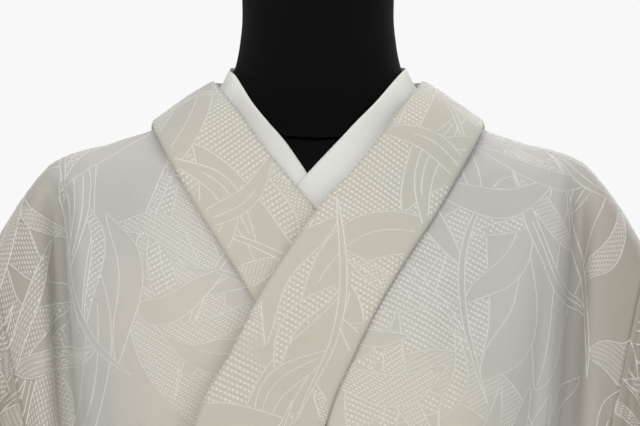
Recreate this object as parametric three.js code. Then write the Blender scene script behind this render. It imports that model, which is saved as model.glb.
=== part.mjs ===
// A woman's kimono, wrapped left over right on a limbless dress form that stands on a round base.
// Millimetres, +Z up, the front faces -Y and the wearer's left is +X. The origin is the middle of
// the base's underside, so the floor is z = 0.
//
// Every cloth piece is a sheet of points worked out from the sizes below, thickened to a wall.
// The cloth of the body is measured from one surface, "the drape". Layers lie a few millimetres
// out from it, in the order in which the garment is put on: right front, left front, collar, tie.
import * as THREE from 'three';

// Heights above the floor
const TIE_TOP = 1030;
const TIE_BOTTOM = 985;
const UPPER_END = 1040; // where the bodice rows would end, just above the tie
const TUCK_BOTTOM = 910; // lower edge of the fold that takes up the spare length
const TUCK_TOP = 985; // where the cloth inside that fold turns down again
const HEM = 70;
const HEM_CORNER_LIFT = 32; // the left front's free corner is drawn up
const OKUMI_TIP = 1146; // upper point of the overlap panels
const CUFF_TOP = 952;
const CUFF_BOTTOM = 735;

// Cloth and its layers, as distances out from the drape
const CLOTH = 1.2;
const COLLAR_THICK = 2.4;
const SEAM = 0.4; // between pieces that are sewn edge to edge
const SEAM_LAP = 8; // how far a panel runs in under the collar
const COLLAR_STRIP = 14; // a panel's first column, which the collar's edge lies over
const COLLAR_OUT = 3.2;
const COLLAR_CROWN = 0.6;
const RIDGE_OUT = 1.3; // the collar lies this much freer over the shoulder and round the nape
const OVER_COLLAR_GAP = 0.4;
const OVER_COLLAR_THICK = 1;
const OVER_COLLAR_ROWS = 21; // sections from the nape down each front
const COLLAR_ENDS = { left: { row: 1, lower: 6 }, right: { row: 1, lower: 2 } };
const LEFT_LIFT = 9.2; // the left front clears the right collar by this
const TIE_THICK = 2.4;

// Out from the skirt's own surface: the right front, the left front, and both at the back seam
const FOLD_LAYERS = {
  outer: { right: 14, left: 21.5, back: 17.5 },
  inner: { right: 10.5, left: 7, back: 9 },
  skirt: { right: 0, left: 3.5, back: 2 },
};
const TURN_DEPTH = {
  outerTurn: { right: 2, left: 6, back: 3 },
  innerTurn: { right: 6, left: 2, back: 3 },
};

const ROUND = 2.5; // exponent of the body's oval sections
const SHOULDER_ROUND = 42; // drop over which a shoulder turns from top to front
const ARM_ROUND = 30; // the same, outside the shoulder's tip
const NECKLINE_ROW = 0.14; // the bodice row that meets the nape
const NECKLINE_HALF = 116;
const OKUMI_SEAM = 12; // from the centre line, in the skirt
const FREE_EDGE = 56; // degrees round from the front where the overlap panels end in the skirt

// The shoulder line, from the neck out to the sleeve seam
const SHOULDER = [
  { x: 0, z: 1398 }, { x: 60, z: 1398 }, { x: 77, z: 1395 }, { x: 100, z: 1379 },
  { x: 123, z: 1364.5 }, { x: 140, z: 1359 }, { x: 162, z: 1352 }, { x: 181, z: 1347.5 },
  { x: 192, z: 1343.5 }, { x: 203, z: 1337.5 }, { x: 211, z: 1330 }, { x: 218, z: 1320.5 },
  { x: 231, z: 1301.5 }, { x: 243, z: 1282 }, { x: 250, z: 1270 },
];
// How far the bodice stands forward and back of the shoulder line
const BODICE = [
  { z: 1030, front: 98, back: 98 }, { z: 1040, front: 100, back: 99 },
  { z: 1090, front: 110, back: 104 }, { z: 1150, front: 116, back: 107 },
  { z: 1200, front: 113, back: 109 }, { z: 1250, front: 101, back: 109 },
  { z: 1290, front: 86, back: 106 }, { z: 1330, front: 70, back: 101 },
  { z: 1350, front: 62, back: 97 }, { z: 1370, front: 56, back: 90 },
  { z: 1402, front: 50, back: 80 },
];
// Down the side of the bodice: where the front turns back, and the edge that takes the sleeve
const ARMHOLE = [
  { row: 0, fold: 203, edge: 250, depth: 38 }, { row: 0.14, fold: 195, edge: 243, depth: 38 },
  { row: 0.28, fold: 192, edge: 237, depth: 38 }, { row: 0.46, fold: 188, edge: 229, depth: 38 },
  { row: 0.66, fold: 183, edge: 219, depth: 37 }, { row: 0.86, fold: 169, edge: 207, depth: 34 },
  { row: 0.91, fold: 162, edge: 197, depth: 29 }, { row: 0.96, fold: 152, edge: 178, depth: 21 },
  { row: 1, fold: 143, edge: 160, depth: 13 },
];
// The skirt's innermost surface
const SKIRT = [
  { z: 70, half: 140, front: 104, back: 108 }, { z: 220, half: 146, front: 108, back: 112 },
  { z: 400, half: 152, front: 110, back: 116 }, { z: 580, half: 157, front: 111, back: 120 },
  { z: 740, half: 161, front: 111, back: 122 }, { z: 860, half: 163, front: 110, back: 121 },
  { z: 930, half: 150, front: 100, back: 108 }, { z: 985, half: 131, front: 86, back: 90 },
  { z: 1008, half: 128, front: 84, back: 86 }, { z: 1040, half: 130, front: 88, back: 87 },
];
// The collar in front: the half widths at which its two edges pass each height
const COLLAR_LINE = [
  { z: 900, outer: -66, inner: -144 }, { z: 985, outer: -45, inner: -127 },
  { z: 1020, outer: -35, inner: -122 }, { z: 1065, outer: -21, inner: -111 },
  { z: 1145, outer: 3, inner: -88 }, { z: 1162, outer: 8, inner: -82 },
  { z: 1198, outer: 24.5, inner: -62 }, { z: 1230, outer: 41, inner: -45.5 },
  { z: 1276, outer: 69, inner: -16.5 }, { z: 1291, outer: 79, inner: -6 },
  { z: 1314, outer: 93, inner: 11 }, { z: 1340, outer: 108, inner: 33.5 },
  { z: 1364, outer: 121, inner: 52 }, { z: 1382, outer: 128, inner: 66.5 },
  { z: 1395, outer: 132, inner: 77 },
];
// The collar from the shoulder line round to the nape: where its inner edge passes
const COLLAR_BACK = [
  { turn: 4, x: 77.3, y: 8, z: 1397.5 }, { turn: 12, x: 77, y: 20, z: 1398.5 },
  { turn: 32, x: 72, y: 42, z: 1399 }, { turn: 52, x: 59, y: 63, z: 1399 },
  { turn: 71, x: 34, y: 80, z: 1398 }, { turn: 90, x: 0, y: 87, z: 1398 },
];
const COLLAR_LAP_ROW = 0.022; // the collar's seam edge lies this far beyond the neckline
// The white collar in front: where its free edge passes, on the side that lies on top, and how
// much nearer the middle the side below passes
const WHITE_LINE = [
  { z: 1262, x: -66, under: 26 }, { z: 1300, x: -33, under: 19 }, { z: 1329, x: -7.6, under: 15.2 },
  { z: 1339, x: 1.5, under: 12.5 }, { z: 1355, x: 15.5, under: 9.5 }, { z: 1374, x: 32, under: 9 },
  { z: 1394, x: 51, under: 4.5 }, { z: 1405, x: 60, under: 3 },
];
// The white collar from beside the neck round to the nape: free edge, bend, and hidden edge
const WHITE_BACK = [
  { edgeX: 61, edgeY: -26, edgeZ: 1405, kneeX: 69, kneeY: -28, kneeZ: 1392, rootX: 84, rootY: -30, rootZ: 1375 },
  { edgeX: 65, edgeY: -13, edgeZ: 1409, kneeX: 72, kneeY: -14, kneeZ: 1395, rootX: 91, rootY: -15, rootZ: 1378 },
  { edgeX: 66.5, edgeY: 3, edgeZ: 1411, kneeX: 74, kneeY: 3, kneeZ: 1396, rootX: 93, rootY: 3, rootZ: 1380 },
  { edgeX: 66, edgeY: 26, edgeZ: 1412, kneeX: 72, kneeY: 26, kneeZ: 1397, rootX: 88, rootY: 30, rootZ: 1378 },
  { edgeX: 56, edgeY: 50, edgeZ: 1413, kneeX: 61, kneeY: 50, kneeZ: 1398, rootX: 71, rootY: 58, rootZ: 1374 },
  { edgeX: 33, edgeY: 69, edgeZ: 1413, kneeX: 35, kneeY: 71, kneeZ: 1398, rootX: 40, rootY: 80, rootZ: 1371 },
  { edgeX: 0, edgeY: 77, edgeZ: 1413, kneeX: 0, kneeY: 79, kneeZ: 1398, rootX: 0, rootY: 87, rootZ: 1370 },
];
const WHITE_WIDTH = 34;
// A hanging sleeve: its inner and outer side, how deep it is, how far its folds swing, and how much
// lower its outer side hangs
const SLEEVE = [
  { z: 762, inner: 187, outer: 346, depth: 24, swing: 15, droop: 70 },
  { z: 800, inner: 189, outer: 357, depth: 27, swing: 17, droop: 58 },
  { z: 860, inner: 193, outer: 366, depth: 30, swing: 18, droop: 40 },
  { z: 920, inner: 197, outer: 368, depth: 31, swing: 18, droop: 22 },
  { z: 985, inner: 201, outer: 362, depth: 32, swing: 17, droop: 6 },
  { z: 1060, inner: 207, outer: 346, depth: 34, swing: 14, droop: 0 },
  { z: 1130, inner: 219, outer: 323, depth: 36, swing: 9, droop: 0 },
  { z: 1190, inner: 230, outer: 298, depth: 38, swing: 4, droop: 0 },
  { z: 1240, inner: 245, outer: 268, depth: 36, swing: 0, droop: 0 },
  { z: 1268, inner: 250, outer: 250.5, depth: 0, swing: 0, droop: 0 },
];
const SLEEVE_SEAM_GAP = 0.8;
const SLEEVE_SEAM_ROWS = [0.0291, 0.0742, 0.14, 0.28, 0.46, 0.66, 0.76, 0.86]; // bodice rows
const SLEEVE_FREE_ROWS = [1042, 1000, 957, 910, 862, 816, 784, 762];
const SLEEVE_CELLS = 34;
const SLEEVE_FOLDS = 3; // waves across its width
const OUTER_CELL = 0.02; // share of the width that the two outermost cells take
const CUFF_CELLS = 2; // cells left out at the outer side, where the hand would come out

// The dress form's rings, from its lower end to the top of its neck
const FORM = [
  { z: 760, half: 138, front: 86, back: 98, round: 2.3 },
  { z: 775, half: 150, front: 97, back: 110, round: 2.3 },
  { z: 860, half: 154, front: 101, back: 113, round: 2.3 },
  { z: 925, half: 142, front: 92, back: 100, round: 2.3 },
  { z: 985, half: 120, front: 76, back: 80, round: 2.3 },
  { z: 1015, half: 117, front: 74, back: 77, round: 2.3 },
  { z: 1060, half: 124, front: 86, back: 82, round: 2.3 },
  { z: 1110, half: 138, front: 99, back: 88, round: 2.3 },
  { z: 1155, half: 150, front: 106, back: 93, round: 2.3 },
  { z: 1200, half: 162, front: 102, back: 97, round: 2.3 },
  { z: 1250, half: 178, front: 90, back: 97, round: 2.3 },
  { z: 1290, half: 190, front: 75, back: 92, round: 2.2 },
  { z: 1315, half: 193, front: 65, back: 84, round: 2 },
  { z: 1332, half: 191, front: 57, back: 76, round: 1.8 },
  { z: 1342.5, half: 184, front: 52, back: 70, round: 1.7 },
  { z: 1350.4, half: 162, front: 49, back: 66, round: 1.65 },
  { z: 1357.4, half: 140, front: 47.5, back: 63, round: 1.65 },
  { z: 1362.5, half: 123, front: 46.5, back: 61, round: 1.7 },
  { z: 1368.5, half: 106, front: 46, back: 60, round: 1.8 },
  { z: 1377, half: 91, front: 46, back: 59, round: 1.9 },
  { z: 1387, half: 78, front: 47, back: 58, round: 2 },
  { z: 1400, half: 67.5, front: 48, back: 56, round: 2.1 },
  { z: 1411, half: 63, front: 49, back: 54, round: 2.1 },
  { z: 1428, half: 59.5, front: 50.5, back: 52, round: 2.1 },
  { z: 1450, half: 57.5, front: 52, back: 50, round: 2.1 },
  { z: 1475, half: 58, front: 54, back: 48, round: 2.1 },
  { z: 1490, half: 58.5, front: 55, back: 47, round: 2.1 },
];
const FORM_SIDES = 30;
const CAP = { height: 9, bevel: 2, inset: 1.5 };
const POLE = { radius: 12.5, top: 759.5, bottom: 44.5 };
const SOCKET = { radius: 24, bottom: 14.3, top: 44 };
const BASE = { radius: 165, height: 14, bevel: 3 };

// Rows of the bodice, from the shoulder line (0) down towards the tie (1)
const NECKLINE_TURNS = [12, 32, 52, 71, 90]; // degrees round the neckline, from the shoulder to the nape
const turnRow = (degrees) => NECKLINE_ROW * Math.sin((degrees * Math.PI) / 180);
const BODICE_ROWS = [
  0, 0.01, ...NECKLINE_TURNS.map(turnRow), 0.2, 0.28, 0.37, 0.46, 0.56, 0.66, 0.76, 0.86, 0.92, 0.97,
];
const CHEST_COLUMNS = 7; // from the front or back edge to where the cloth turns at the arm
const ARM_COLUMNS = 3; // from there to the sleeve
const COLUMNS = CHEST_COLUMNS + ARM_COLUMNS;
// Heights of the rows below, on each layer of the fold
const OUTER_ROWS = [TIE_TOP, 1008, TIE_BOTTOM, 960, 932, TUCK_BOTTOM];
const INNER_ROWS = [TUCK_BOTTOM, 947, TUCK_TOP];
const SKIRT_ROWS = [TUCK_TOP, 930, 860, 730, 520, 290, HEM];
const TURN_STEPS = [1 / 6, 1 / 2, 5 / 6];
const TUCK_SWELL = 4; // the fold stands out this much below the tie

const clamp = (v, low, high) => Math.min(high, Math.max(low, v));
const mix = (a, b, t) => a + (b - a) * t;
const smooth = (t) => THREE.MathUtils.smoothstep(t, 0, 1);
const quarter = (t) => Math.sqrt(1 - (1 - clamp(t, 0, 1)) ** 2);

// A smooth curve through two columns of a table, which never swings past its rows.
function through(rows, key, value) {
  const x = rows.map((r) => r[key]);
  const y = rows.map((r) => r[value]);
  const last = x.length - 1;
  const secant = x.slice(1).map((v, i) => (y[i + 1] - y[i]) / (v - x[i]));
  const slope = x.map((_, i) => {
    if (i === 0) return secant[0];
    if (i === last) return secant[last - 1];
    const [a, b] = [secant[i - 1], secant[i]];
    return a * b <= 0 ? 0 : (2 * a * b) / (a + b);
  });
  return (q) => {
    if (q <= x[0]) return y[0];
    if (q >= x[last]) return y[last];
    const i = x.findIndex((v) => v > q) - 1;
    const h = x[i + 1] - x[i];
    const t = (q - x[i]) / h;
    const [t2, t3] = [t * t, t * t * t];
    return y[i] * (2 * t3 - 3 * t2 + 1) + h * slope[i] * (t3 - 2 * t2 + t)
      + y[i + 1] * (3 * t2 - 2 * t3) + h * slope[i + 1] * (t3 - t2);
  };
}

const shoulder = through(SHOULDER, 'x', 'z');
const bodiceDepth = { front: through(BODICE, 'z', 'front'), back: through(BODICE, 'z', 'back') };
const foldX = through(ARMHOLE, 'row', 'fold');
const armEdge = through(ARMHOLE, 'row', 'edge');
const armDepth = through(ARMHOLE, 'row', 'depth');
const skirtHalf = through(SKIRT, 'z', 'half');
const skirtDepth = { front: through(SKIRT, 'z', 'front'), back: through(SKIRT, 'z', 'back') };
const collarOuter = through(COLLAR_LINE, 'z', 'outer');
const collarInner = through(COLLAR_LINE, 'z', 'inner');

const bodiceHeight = (x, row) => mix(shoulder(Math.abs(x)), UPPER_END, row);
const sign = (side) => (side === 'front' ? -1 : 1);

// How far the drape stands out from the shoulder line's plane at a place on the bodice.
function chestDepth(x, z, side) {
  const top = shoulder(Math.abs(x));
  const row = clamp((top - z) / (top - UPPER_END), 0, 1);
  const across = clamp(1 - (Math.abs(x) / foldX(row)) ** ROUND, 0, 1) ** (1 / ROUND);
  return bodiceDepth[side](z) * across * quarter((top - z) / SHOULDER_ROUND);
}

// A point on the bodice, moved out from the drape along its own normal.
function onBodice(x, z, side, out) {
  const step = 1;
  const low = Math.min(z, shoulder(Math.abs(x)) - 1.5 * step);
  const slopeX = (chestDepth(x + step, low, side) - chestDepth(x - step, low, side)) / (2 * step);
  const slopeZ = (chestDepth(x, low + step, side) - chestDepth(x, low - step, side)) / (2 * step);
  const normal = new THREE.Vector3(-slopeX, sign(side), -slopeZ).normalize();
  return new THREE.Vector3(x, sign(side) * chestDepth(x, z, side), z).addScaledVector(normal, out);
}

// A point on the skirt's surface at an angle from the front (0) by the side (90) to the back (180).
function onSkirt(angle, z, out) {
  const side = angle <= 90 ? 'front' : 'back';
  const turn = THREE.MathUtils.degToRad(angle);
  const x = (skirtHalf(z) + out) * Math.abs(Math.sin(turn)) ** (2 / ROUND);
  const y = (skirtDepth[side](z) + out) * Math.abs(Math.cos(turn)) ** (2 / ROUND);
  return new THREE.Vector3(x, sign(side) * y, z);
}
// The angle at which the skirt's surface is a given distance from the centre line.
const skirtAngle = (x, z, out) => Math.sign(x)
  * THREE.MathUtils.radToDeg(Math.asin(clamp(Math.abs(x) / (skirtHalf(z) + out), 0, 1) ** (ROUND / 2)));

// How far a front lies out from the drape: the left one clears the right one's collar.
function frontLift(body, x, z) {
  if (body === 'right') return 0;
  const rightCollar = -collarInner(z);
  return LEFT_LIFT * smooth((rightCollar + 68 - x) / 60);
}
// The same in the layers of the fold and the skirt; the two bodies meet at the back seam.
function layerOut(layers, body, angle) {
  return mix(layers.back, layers[body], smooth((150 - angle) / 85));
}

// Where a bodice row crosses a line that is given as x at each height.
function crossing(row, line) {
  let x = 60;
  for (let i = 0; i < 40; i++) x = mix(x, line(bodiceHeight(x, row)), 0.6);
  return x;
}

// The inner edge of a front at a bodice row: under the collar, or at the overlap panel's seam.
const okumiSeam = (z) => mix(OKUMI_SEAM, 5, smooth((z - TIE_TOP) / (OKUMI_TIP - TIE_TOP)));
function frontEdge(row) {
  return crossing(row, (z) => Math.max(collarOuter(z) - SEAM_LAP, okumiSeam(z) + SEAM / 2));
}
function backEdge(row) {
  return Math.max(SEAM / 2, NECKLINE_HALF * Math.sqrt(Math.max(0, 1 - (row / NECKLINE_ROW) ** 2)));
}

// One point of the bodice: columns run from its inner edge over the chest, round the fold at the
// arm and out to the sleeve seam.
const ARM_SHARES = [0, 0.35, 0.68, 1];
const ARM_DEPTHS = { front: [0.7, 0.94, 1.02, 0.95], back: [0.84, 0.98, 1.02, 0.95] };
function bodicePoint(body, side, row, column) {
  const inner = side === 'front' && row > 0 ? frontEdge(row) : backEdge(row);
  const fold = foldX(row);
  const arm = Math.max(0, column - CHEST_COLUMNS);
  const strip = COLLAR_STRIP / (fold - inner);
  const even = clamp((column - 1) / (CHEST_COLUMNS - 1), 0, 1);
  const share = column === 0 ? 0 : mix(strip, 1, mix(even, Math.sin((Math.PI / 2) * even), 0.65));
  const x = arm ? mix(fold, armEdge(row), ARM_SHARES[arm]) : mix(inner, fold, share);
  const z = bodiceHeight(x, row);
  const lift = side === 'front' ? frontLift(body, x, z) : 0;
  const armOut = armDepth(row) * ARM_DEPTHS[side][arm] * quarter((shoulder(x) - z) / ARM_ROUND);
  if (arm === 0 && chestDepth(x, z, side) > armOut) return onBodice(x, z, side, lift);
  return new THREE.Vector3(x, sign(side) * Math.max(armOut, SEAM / 2), z);
}

// The rows below the bodice: down over the tie to the fold's lower edge, up inside it, and down to
// the hem. Each is a height and a distance out, for one body at one angle.
const LOWER_ROWS = [
  ...OUTER_ROWS.map((z) => ({ z, layer: 'outer' })),
  ...TURN_STEPS.map((t) => ({ z: TUCK_BOTTOM, turn: t, from: 'outer', to: 'inner', dip: 'outerTurn', down: 1 })),
  ...INNER_ROWS.map((z) => ({ z, layer: 'inner' })),
  ...TURN_STEPS.map((t) => ({ z: TUCK_TOP, turn: t, from: 'inner', to: 'skirt', dip: 'innerTurn', down: -1 })),
  ...SKIRT_ROWS.map((z) => ({ z, layer: 'skirt' })),
];
function lowerPlace(row, body, angle) {
  const out = (layer) => layerOut(FOLD_LAYERS[layer], body, Math.abs(angle));
  if (row.layer) {
    const swell = row.layer === 'outer' ? TUCK_SWELL * smooth((TIE_BOTTOM - row.z) / 30) : 0;
    return { z: row.z, out: out(row.layer) + swell };
  }
  const depth = layerOut(TURN_DEPTH[row.dip], body, Math.abs(angle)) * Math.sin(Math.PI * row.turn);
  const swell = row.from === 'outer' ? TUCK_SWELL * (1 - row.turn) : 0;
  const share = (1 - Math.cos(Math.PI * row.turn)) / 2;
  return { z: row.z - row.down * depth, out: mix(out(row.from), out(row.to), share) + swell };
}
function lowerPoint(body, row, angle, lift = 0) {
  const { z, out } = lowerPlace(row, body, angle);
  const rise = HEM_CORNER_LIFT * lift * smooth((TUCK_TOP - z) / (TUCK_TOP - HEM));
  const p = onSkirt(Math.abs(angle), z + rise, out);
  return angle < 0 ? p.setX(-p.x) : p;
}

// Sheets: a list of points, and faces that index them.
function grid(rows) {
  const wide = rows[0].length;
  const points = rows.flat();
  const faces = [];
  for (let i = 0; i + 1 < rows.length; i++) {
    for (let j = 0; j + 1 < wide; j++) {
      const a = i * wide + j;
      faces.push([a, a + 1, a + wide + 1, a + wide]);
    }
  }
  return { points, faces };
}
const mirrored = (sheet) => ({
  points: sheet.points.map((p) => new THREE.Vector3(-p.x, p.y, p.z)),
  faces: sheet.faces.map(([a, ...rest]) => [a, ...rest.reverse()]),
});

function triangles(faces) {
  return faces.flatMap(([a, b, c, d]) => (d === undefined ? [[a, b, c]] : [[a, b, c], [a, c, d]]));
}
function geometry(points, faces) {
  const g = new THREE.BufferGeometry();
  g.setAttribute('position', new THREE.Float32BufferAttribute(points.flatMap((p) => [p.x, p.y, p.z]), 3));
  g.setIndex(triangles(faces).flat());
  return g;
}

function vertexNormals({ points, faces }) {
  const normals = points.map(() => new THREE.Vector3());
  const [u, v, n] = [new THREE.Vector3(), new THREE.Vector3(), new THREE.Vector3()];
  for (const [a, b, c] of triangles(faces)) {
    for (const [i, j, k] of [[a, b, c], [b, c, a], [c, a, b]]) {
      u.subVectors(points[j], points[i]);
      v.subVectors(points[k], points[i]);
      n.crossVectors(u, v).normalize();
      normals[i].addScaledVector(n, u.angleTo(v));
    }
  }
  return normals.map((m) => m.normalize());
}

// Thickens a sheet by half its thickness to each side and closes it along its free edges.
function wall({ points, faces }, thickness) {
  const normals = vertexNormals({ points, faces });
  const side = (s) => points.map((p, i) => p.clone().addScaledVector(normals[i], s * thickness / 2));
  const count = points.length;
  const outer = triangles(faces);
  const edges = new Map();
  for (const [a, b, c] of outer) {
    for (const e of [[a, b], [b, c], [c, a]]) edges.set(e.join(), e);
  }
  const rim = [...edges.values()].filter(([a, b]) => !edges.has([b, a].join()));
  return geometry([...side(1), ...side(-1)], [
    ...outer,
    ...outer.map(([a, b, c]) => [c + count, b + count, a + count]),
    ...rim.map(([a, b]) => [b, a, a + count, b + count]),
  ]);
}

// A solid through closed rings of equal count, with flat ends.
function loft(rings) {
  const n = rings[0].length;
  const points = rings.flat();
  const faces = [];
  for (let i = 0; i + 1 < rings.length; i++) {
    for (let j = 0; j < n; j++) {
      const k = (j + 1) % n;
      faces.push([i * n + j, i * n + k, (i + 1) * n + k, (i + 1) * n + j]);
    }
  }
  const end = (rings.length - 1) * n;
  for (let j = 1; j + 1 < n; j++) {
    faces.push([0, j + 1, j]);
    faces.push([end, end + j, end + j + 1]);
  }
  return geometry(points, faces);
}

// Left or right front and back in one length of cloth, over the shoulder, with no shoulder seam.
function bodyPanel(body) {
  const columns = Array.from({ length: COLUMNS + 1 }, (_, c) => c);
  const half = (side) => {
    const bodice = BODICE_ROWS.map((row) => columns.map((c) => bodicePoint(body, side, row, c)));
    const lower = LOWER_ROWS.map((row) => columns.map((c) => {
      const { z, out } = lowerPlace(row, body, 0);
      const seam = side === 'front' ? skirtAngle(OKUMI_SEAM + SEAM / 2, z, out) : 180;
      const angle = mix(seam, 90, c / COLUMNS);
      const p = lowerPoint(body, row, angle);
      if (c === COLUMNS) p.y = sign(side) * SEAM / 2;
      if (c === 0 && side === 'back') p.x = SEAM / 2;
      return p;
    }));
    return [...bodice, ...lower];
  };
  const sheet = grid([...half('front').reverse(), ...half('back').slice(1)]);
  return body === 'left' ? sheet : mirrored(sheet);
}

// The narrow panel that widens a front for the overlap, from a point at the collar to the hem.
const OKUMI_COLUMNS = 6;
const OKUMI_TOP_ROWS = [0, 0.2, 0.45, 0.72, 0.95];
// Share of the way from the collar's edge out to the free edge, layer by layer down the fold
const FREE_SHARE = {
  outer: () => 0,
  outerTurn: () => 0,
  inner: (z) => clamp((z - TUCK_BOTTOM) / (TUCK_TOP - TUCK_BOTTOM), 0, 1),
  innerTurn: () => 1,
  skirt: () => 1,
};
function okumi(body) {
  const shares = Array.from({ length: OKUMI_COLUMNS + 1 }, (_, c) => c / OKUMI_COLUMNS);
  const top = OKUMI_TOP_ROWS.map((t) => {
    const z = mix(OKUMI_TIP - 10, TIE_TOP, t);
    const seam = okumiSeam(z) - SEAM / 2;
    const edge = Math.min(collarOuter(z) - SEAM_LAP, seam - 4);
    return shares.map((s) => {
      const x = mix(seam, edge, s);
      return onBodice(x, z, 'front', frontLift(body, x, z));
    });
  });
  const lower = LOWER_ROWS.map((row) => {
    const { z, out } = lowerPlace(row, body, 0);
    const seam = skirtAngle(OKUMI_SEAM - SEAM / 2, z, out);
    const top = skirtAngle(collarOuter(z) - 3 * SEAM_LAP, z, out);
    const edge = mix(top, -FREE_EDGE, FREE_SHARE[row.layer ?? row.dip](z));
    return shares.map((s) => lowerPoint(body, row, mix(seam, edge, s), body === 'left' ? s * s : 0));
  });
  const sheet = grid([...top, ...lower]);
  return body === 'left' ? sheet : mirrored(sheet);
}

// The collar band: sections from its seam edge to its inner edge, from the nape down one front.
const BAND_SHARES = [0, 0.35, 0.7, 1];
const crown = (share) => COLLAR_CROWN * Math.sin(Math.PI * share);
function collarBackSection({ turn, x, y, z }) {
  const t = THREE.MathUtils.degToRad(turn);
  const row = (NECKLINE_ROW + COLLAR_LAP_ROW) * Math.sin(t);
  const seamX = (NECKLINE_HALF + SEAM_LAP) * Math.cos(t);
  const outer = onBodice(seamX, bodiceHeight(seamX, row), 'back', COLLAR_OUT + RIDGE_OUT * (1.3 + Math.sin(t)));
  const inner = new THREE.Vector3(x, y, z);
  const along = new THREE.Vector3().subVectors(inner, outer).normalize();
  const round = new THREE.Vector3(-Math.cos(t) * y - Math.sin(t) * 20, x, 0).normalize();
  const normal = new THREE.Vector3().crossVectors(round, along).normalize();
  if (normal.z < 0) normal.negate();
  return BAND_SHARES.map((s) => outer.clone().lerp(inner, s).addScaledVector(normal, crown(s)));
}
function collarHalf(body, lastRow, lowerRows) {
  const back = COLLAR_BACK.map(collarBackSection);
  const front = BODICE_ROWS.filter((row) => row <= lastRow).map((row) => {
    const innerRow = row - 0.1 * smooth(row / 0.3);
    const [xo, xi] = [crossing(row, collarOuter), crossing(innerRow, collarInner)];
    const [zo, zi] = [bodiceHeight(xo, row), bodiceHeight(xi, innerRow)];
    const out = COLLAR_OUT + RIDGE_OUT * smooth(1 - row / 0.3);
    return BAND_SHARES.map((s) => {
      const [x, z] = [mix(xo, xi, s), mix(zo, zi, s)];
      return onBodice(x, z, 'front', frontLift(body, x, z) + out + crown(s));
    });
  });
  const lower = LOWER_ROWS.slice(0, lowerRows).map((row) => {
    const { z, out: layer } = lowerPlace(row, body, 0);
    return BAND_SHARES.map((s) => {
      const x = mix(collarOuter(z), collarInner(z), s);
      const rise = 8 * s * smooth((z - TUCK_BOTTOM) / 60);
      const p = onSkirt(Math.abs(skirtAngle(x, z, layer)), z + rise, layer + COLLAR_OUT + crown(s));
      return p.setX(Math.sign(x) * p.x);
    });
  });
  const rows = [...back.reverse(), ...front, ...lower];
  return body === 'left' ? rows : rows.map((r) => r.map((p) => p.clone().setX(-p.x)));
}
function collarBand() {
  const right = collarHalf('right', COLLAR_ENDS.right.row, COLLAR_ENDS.right.lower);
  const left = collarHalf('left', COLLAR_ENDS.left.row, COLLAR_ENDS.left.lower);
  return { sheet: grid([...right.reverse(), ...left.slice(1)]), nape: right.length - 1 };
}
// The second layer over the collar's upper part: the collar's own points moved out.
function overCollar({ sheet, nape }) {
  const wide = BAND_SHARES.length;
  const out = (COLLAR_THICK + OVER_COLLAR_THICK) / 2 + OVER_COLLAR_GAP;
  const normals = vertexNormals(sheet);
  const moved = sheet.points.map((p, i) => p.clone().addScaledVector(normals[i], out));
  const rows = [];
  for (let i = nape - OVER_COLLAR_ROWS; i <= nape + OVER_COLLAR_ROWS; i++) {
    rows.push(moved.slice(i * wide, (i + 1) * wide));
  }
  return grid(rows);
}

// The white collar: a narrow band that shows inside the other one and crosses below the neck.
const whiteEdge = through(WHITE_LINE, 'z', 'x');
const whiteUnder = through(WHITE_LINE, 'z', 'under');
const formHalf = through(FORM, 'z', 'half');
const formFront = through(FORM, 'z', 'front');
const formRound = through(FORM, 'z', 'round');
const WHITE_OUT = { left: 4.4, right: 1.9 };
const WHITE_ROWS = [1384, 1370, 1355, 1340, 1326, 1306, 1286, 1268];
const WHITE_THICK = 1.2;
const WHITE_SHARES = [1, 0.66, 0.33, 0];
function formDepth(x, z) {
  const round = formRound(z);
  return formFront(z) * clamp(1 - (Math.abs(x) / formHalf(z)) ** round, 0, 1) ** (1 / round);
}
function onForm(x, z, out) {
  const slopeX = (formDepth(x + 1, z) - formDepth(x - 1, z)) / 2;
  const slopeZ = (formDepth(x, z + 1) - formDepth(x, z - 1)) / 2;
  const normal = new THREE.Vector3(-slopeX, -1, -slopeZ).normalize();
  return new THREE.Vector3(x, -formDepth(x, z), z).addScaledVector(normal, out);
}
function whiteHalf(body) {
  const shift = (z) => (body === 'left' ? 0 : whiteUnder(z));
  const back = WHITE_BACK.map((r) => {
    const root = new THREE.Vector3(r.rootX, r.rootY, r.rootZ);
    const knee = new THREE.Vector3(r.kneeX, r.kneeY, r.kneeZ);
    const edge = new THREE.Vector3(r.edgeX + (r.edgeY < 0 ? shift(r.edgeZ) / 2 : 0), r.edgeY, r.edgeZ);
    return [root, root.clone().lerp(knee, 0.5), knee, edge];
  });
  const front = WHITE_ROWS.map((z) => {
    const here = whiteEdge(z) + shift(z);
    const ahead = whiteEdge(z - 6) + shift(z - 6);
    const down = new THREE.Vector2(ahead - here, -6).normalize();
    return WHITE_SHARES.map((s) => {
      const width = WHITE_WIDTH * s;
      return onForm(here - down.y * width, z + down.x * width, WHITE_OUT[body]);
    });
  });
  const rows = [...back.reverse(), ...front];
  return body === 'left' ? rows : rows.map((r) => r.map((p) => p.clone().setX(-p.x)));
}
function whiteCollar() {
  const left = whiteHalf('left');
  const right = whiteHalf('right');
  return grid([...right.reverse(), ...left.slice(1)]);
}

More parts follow.
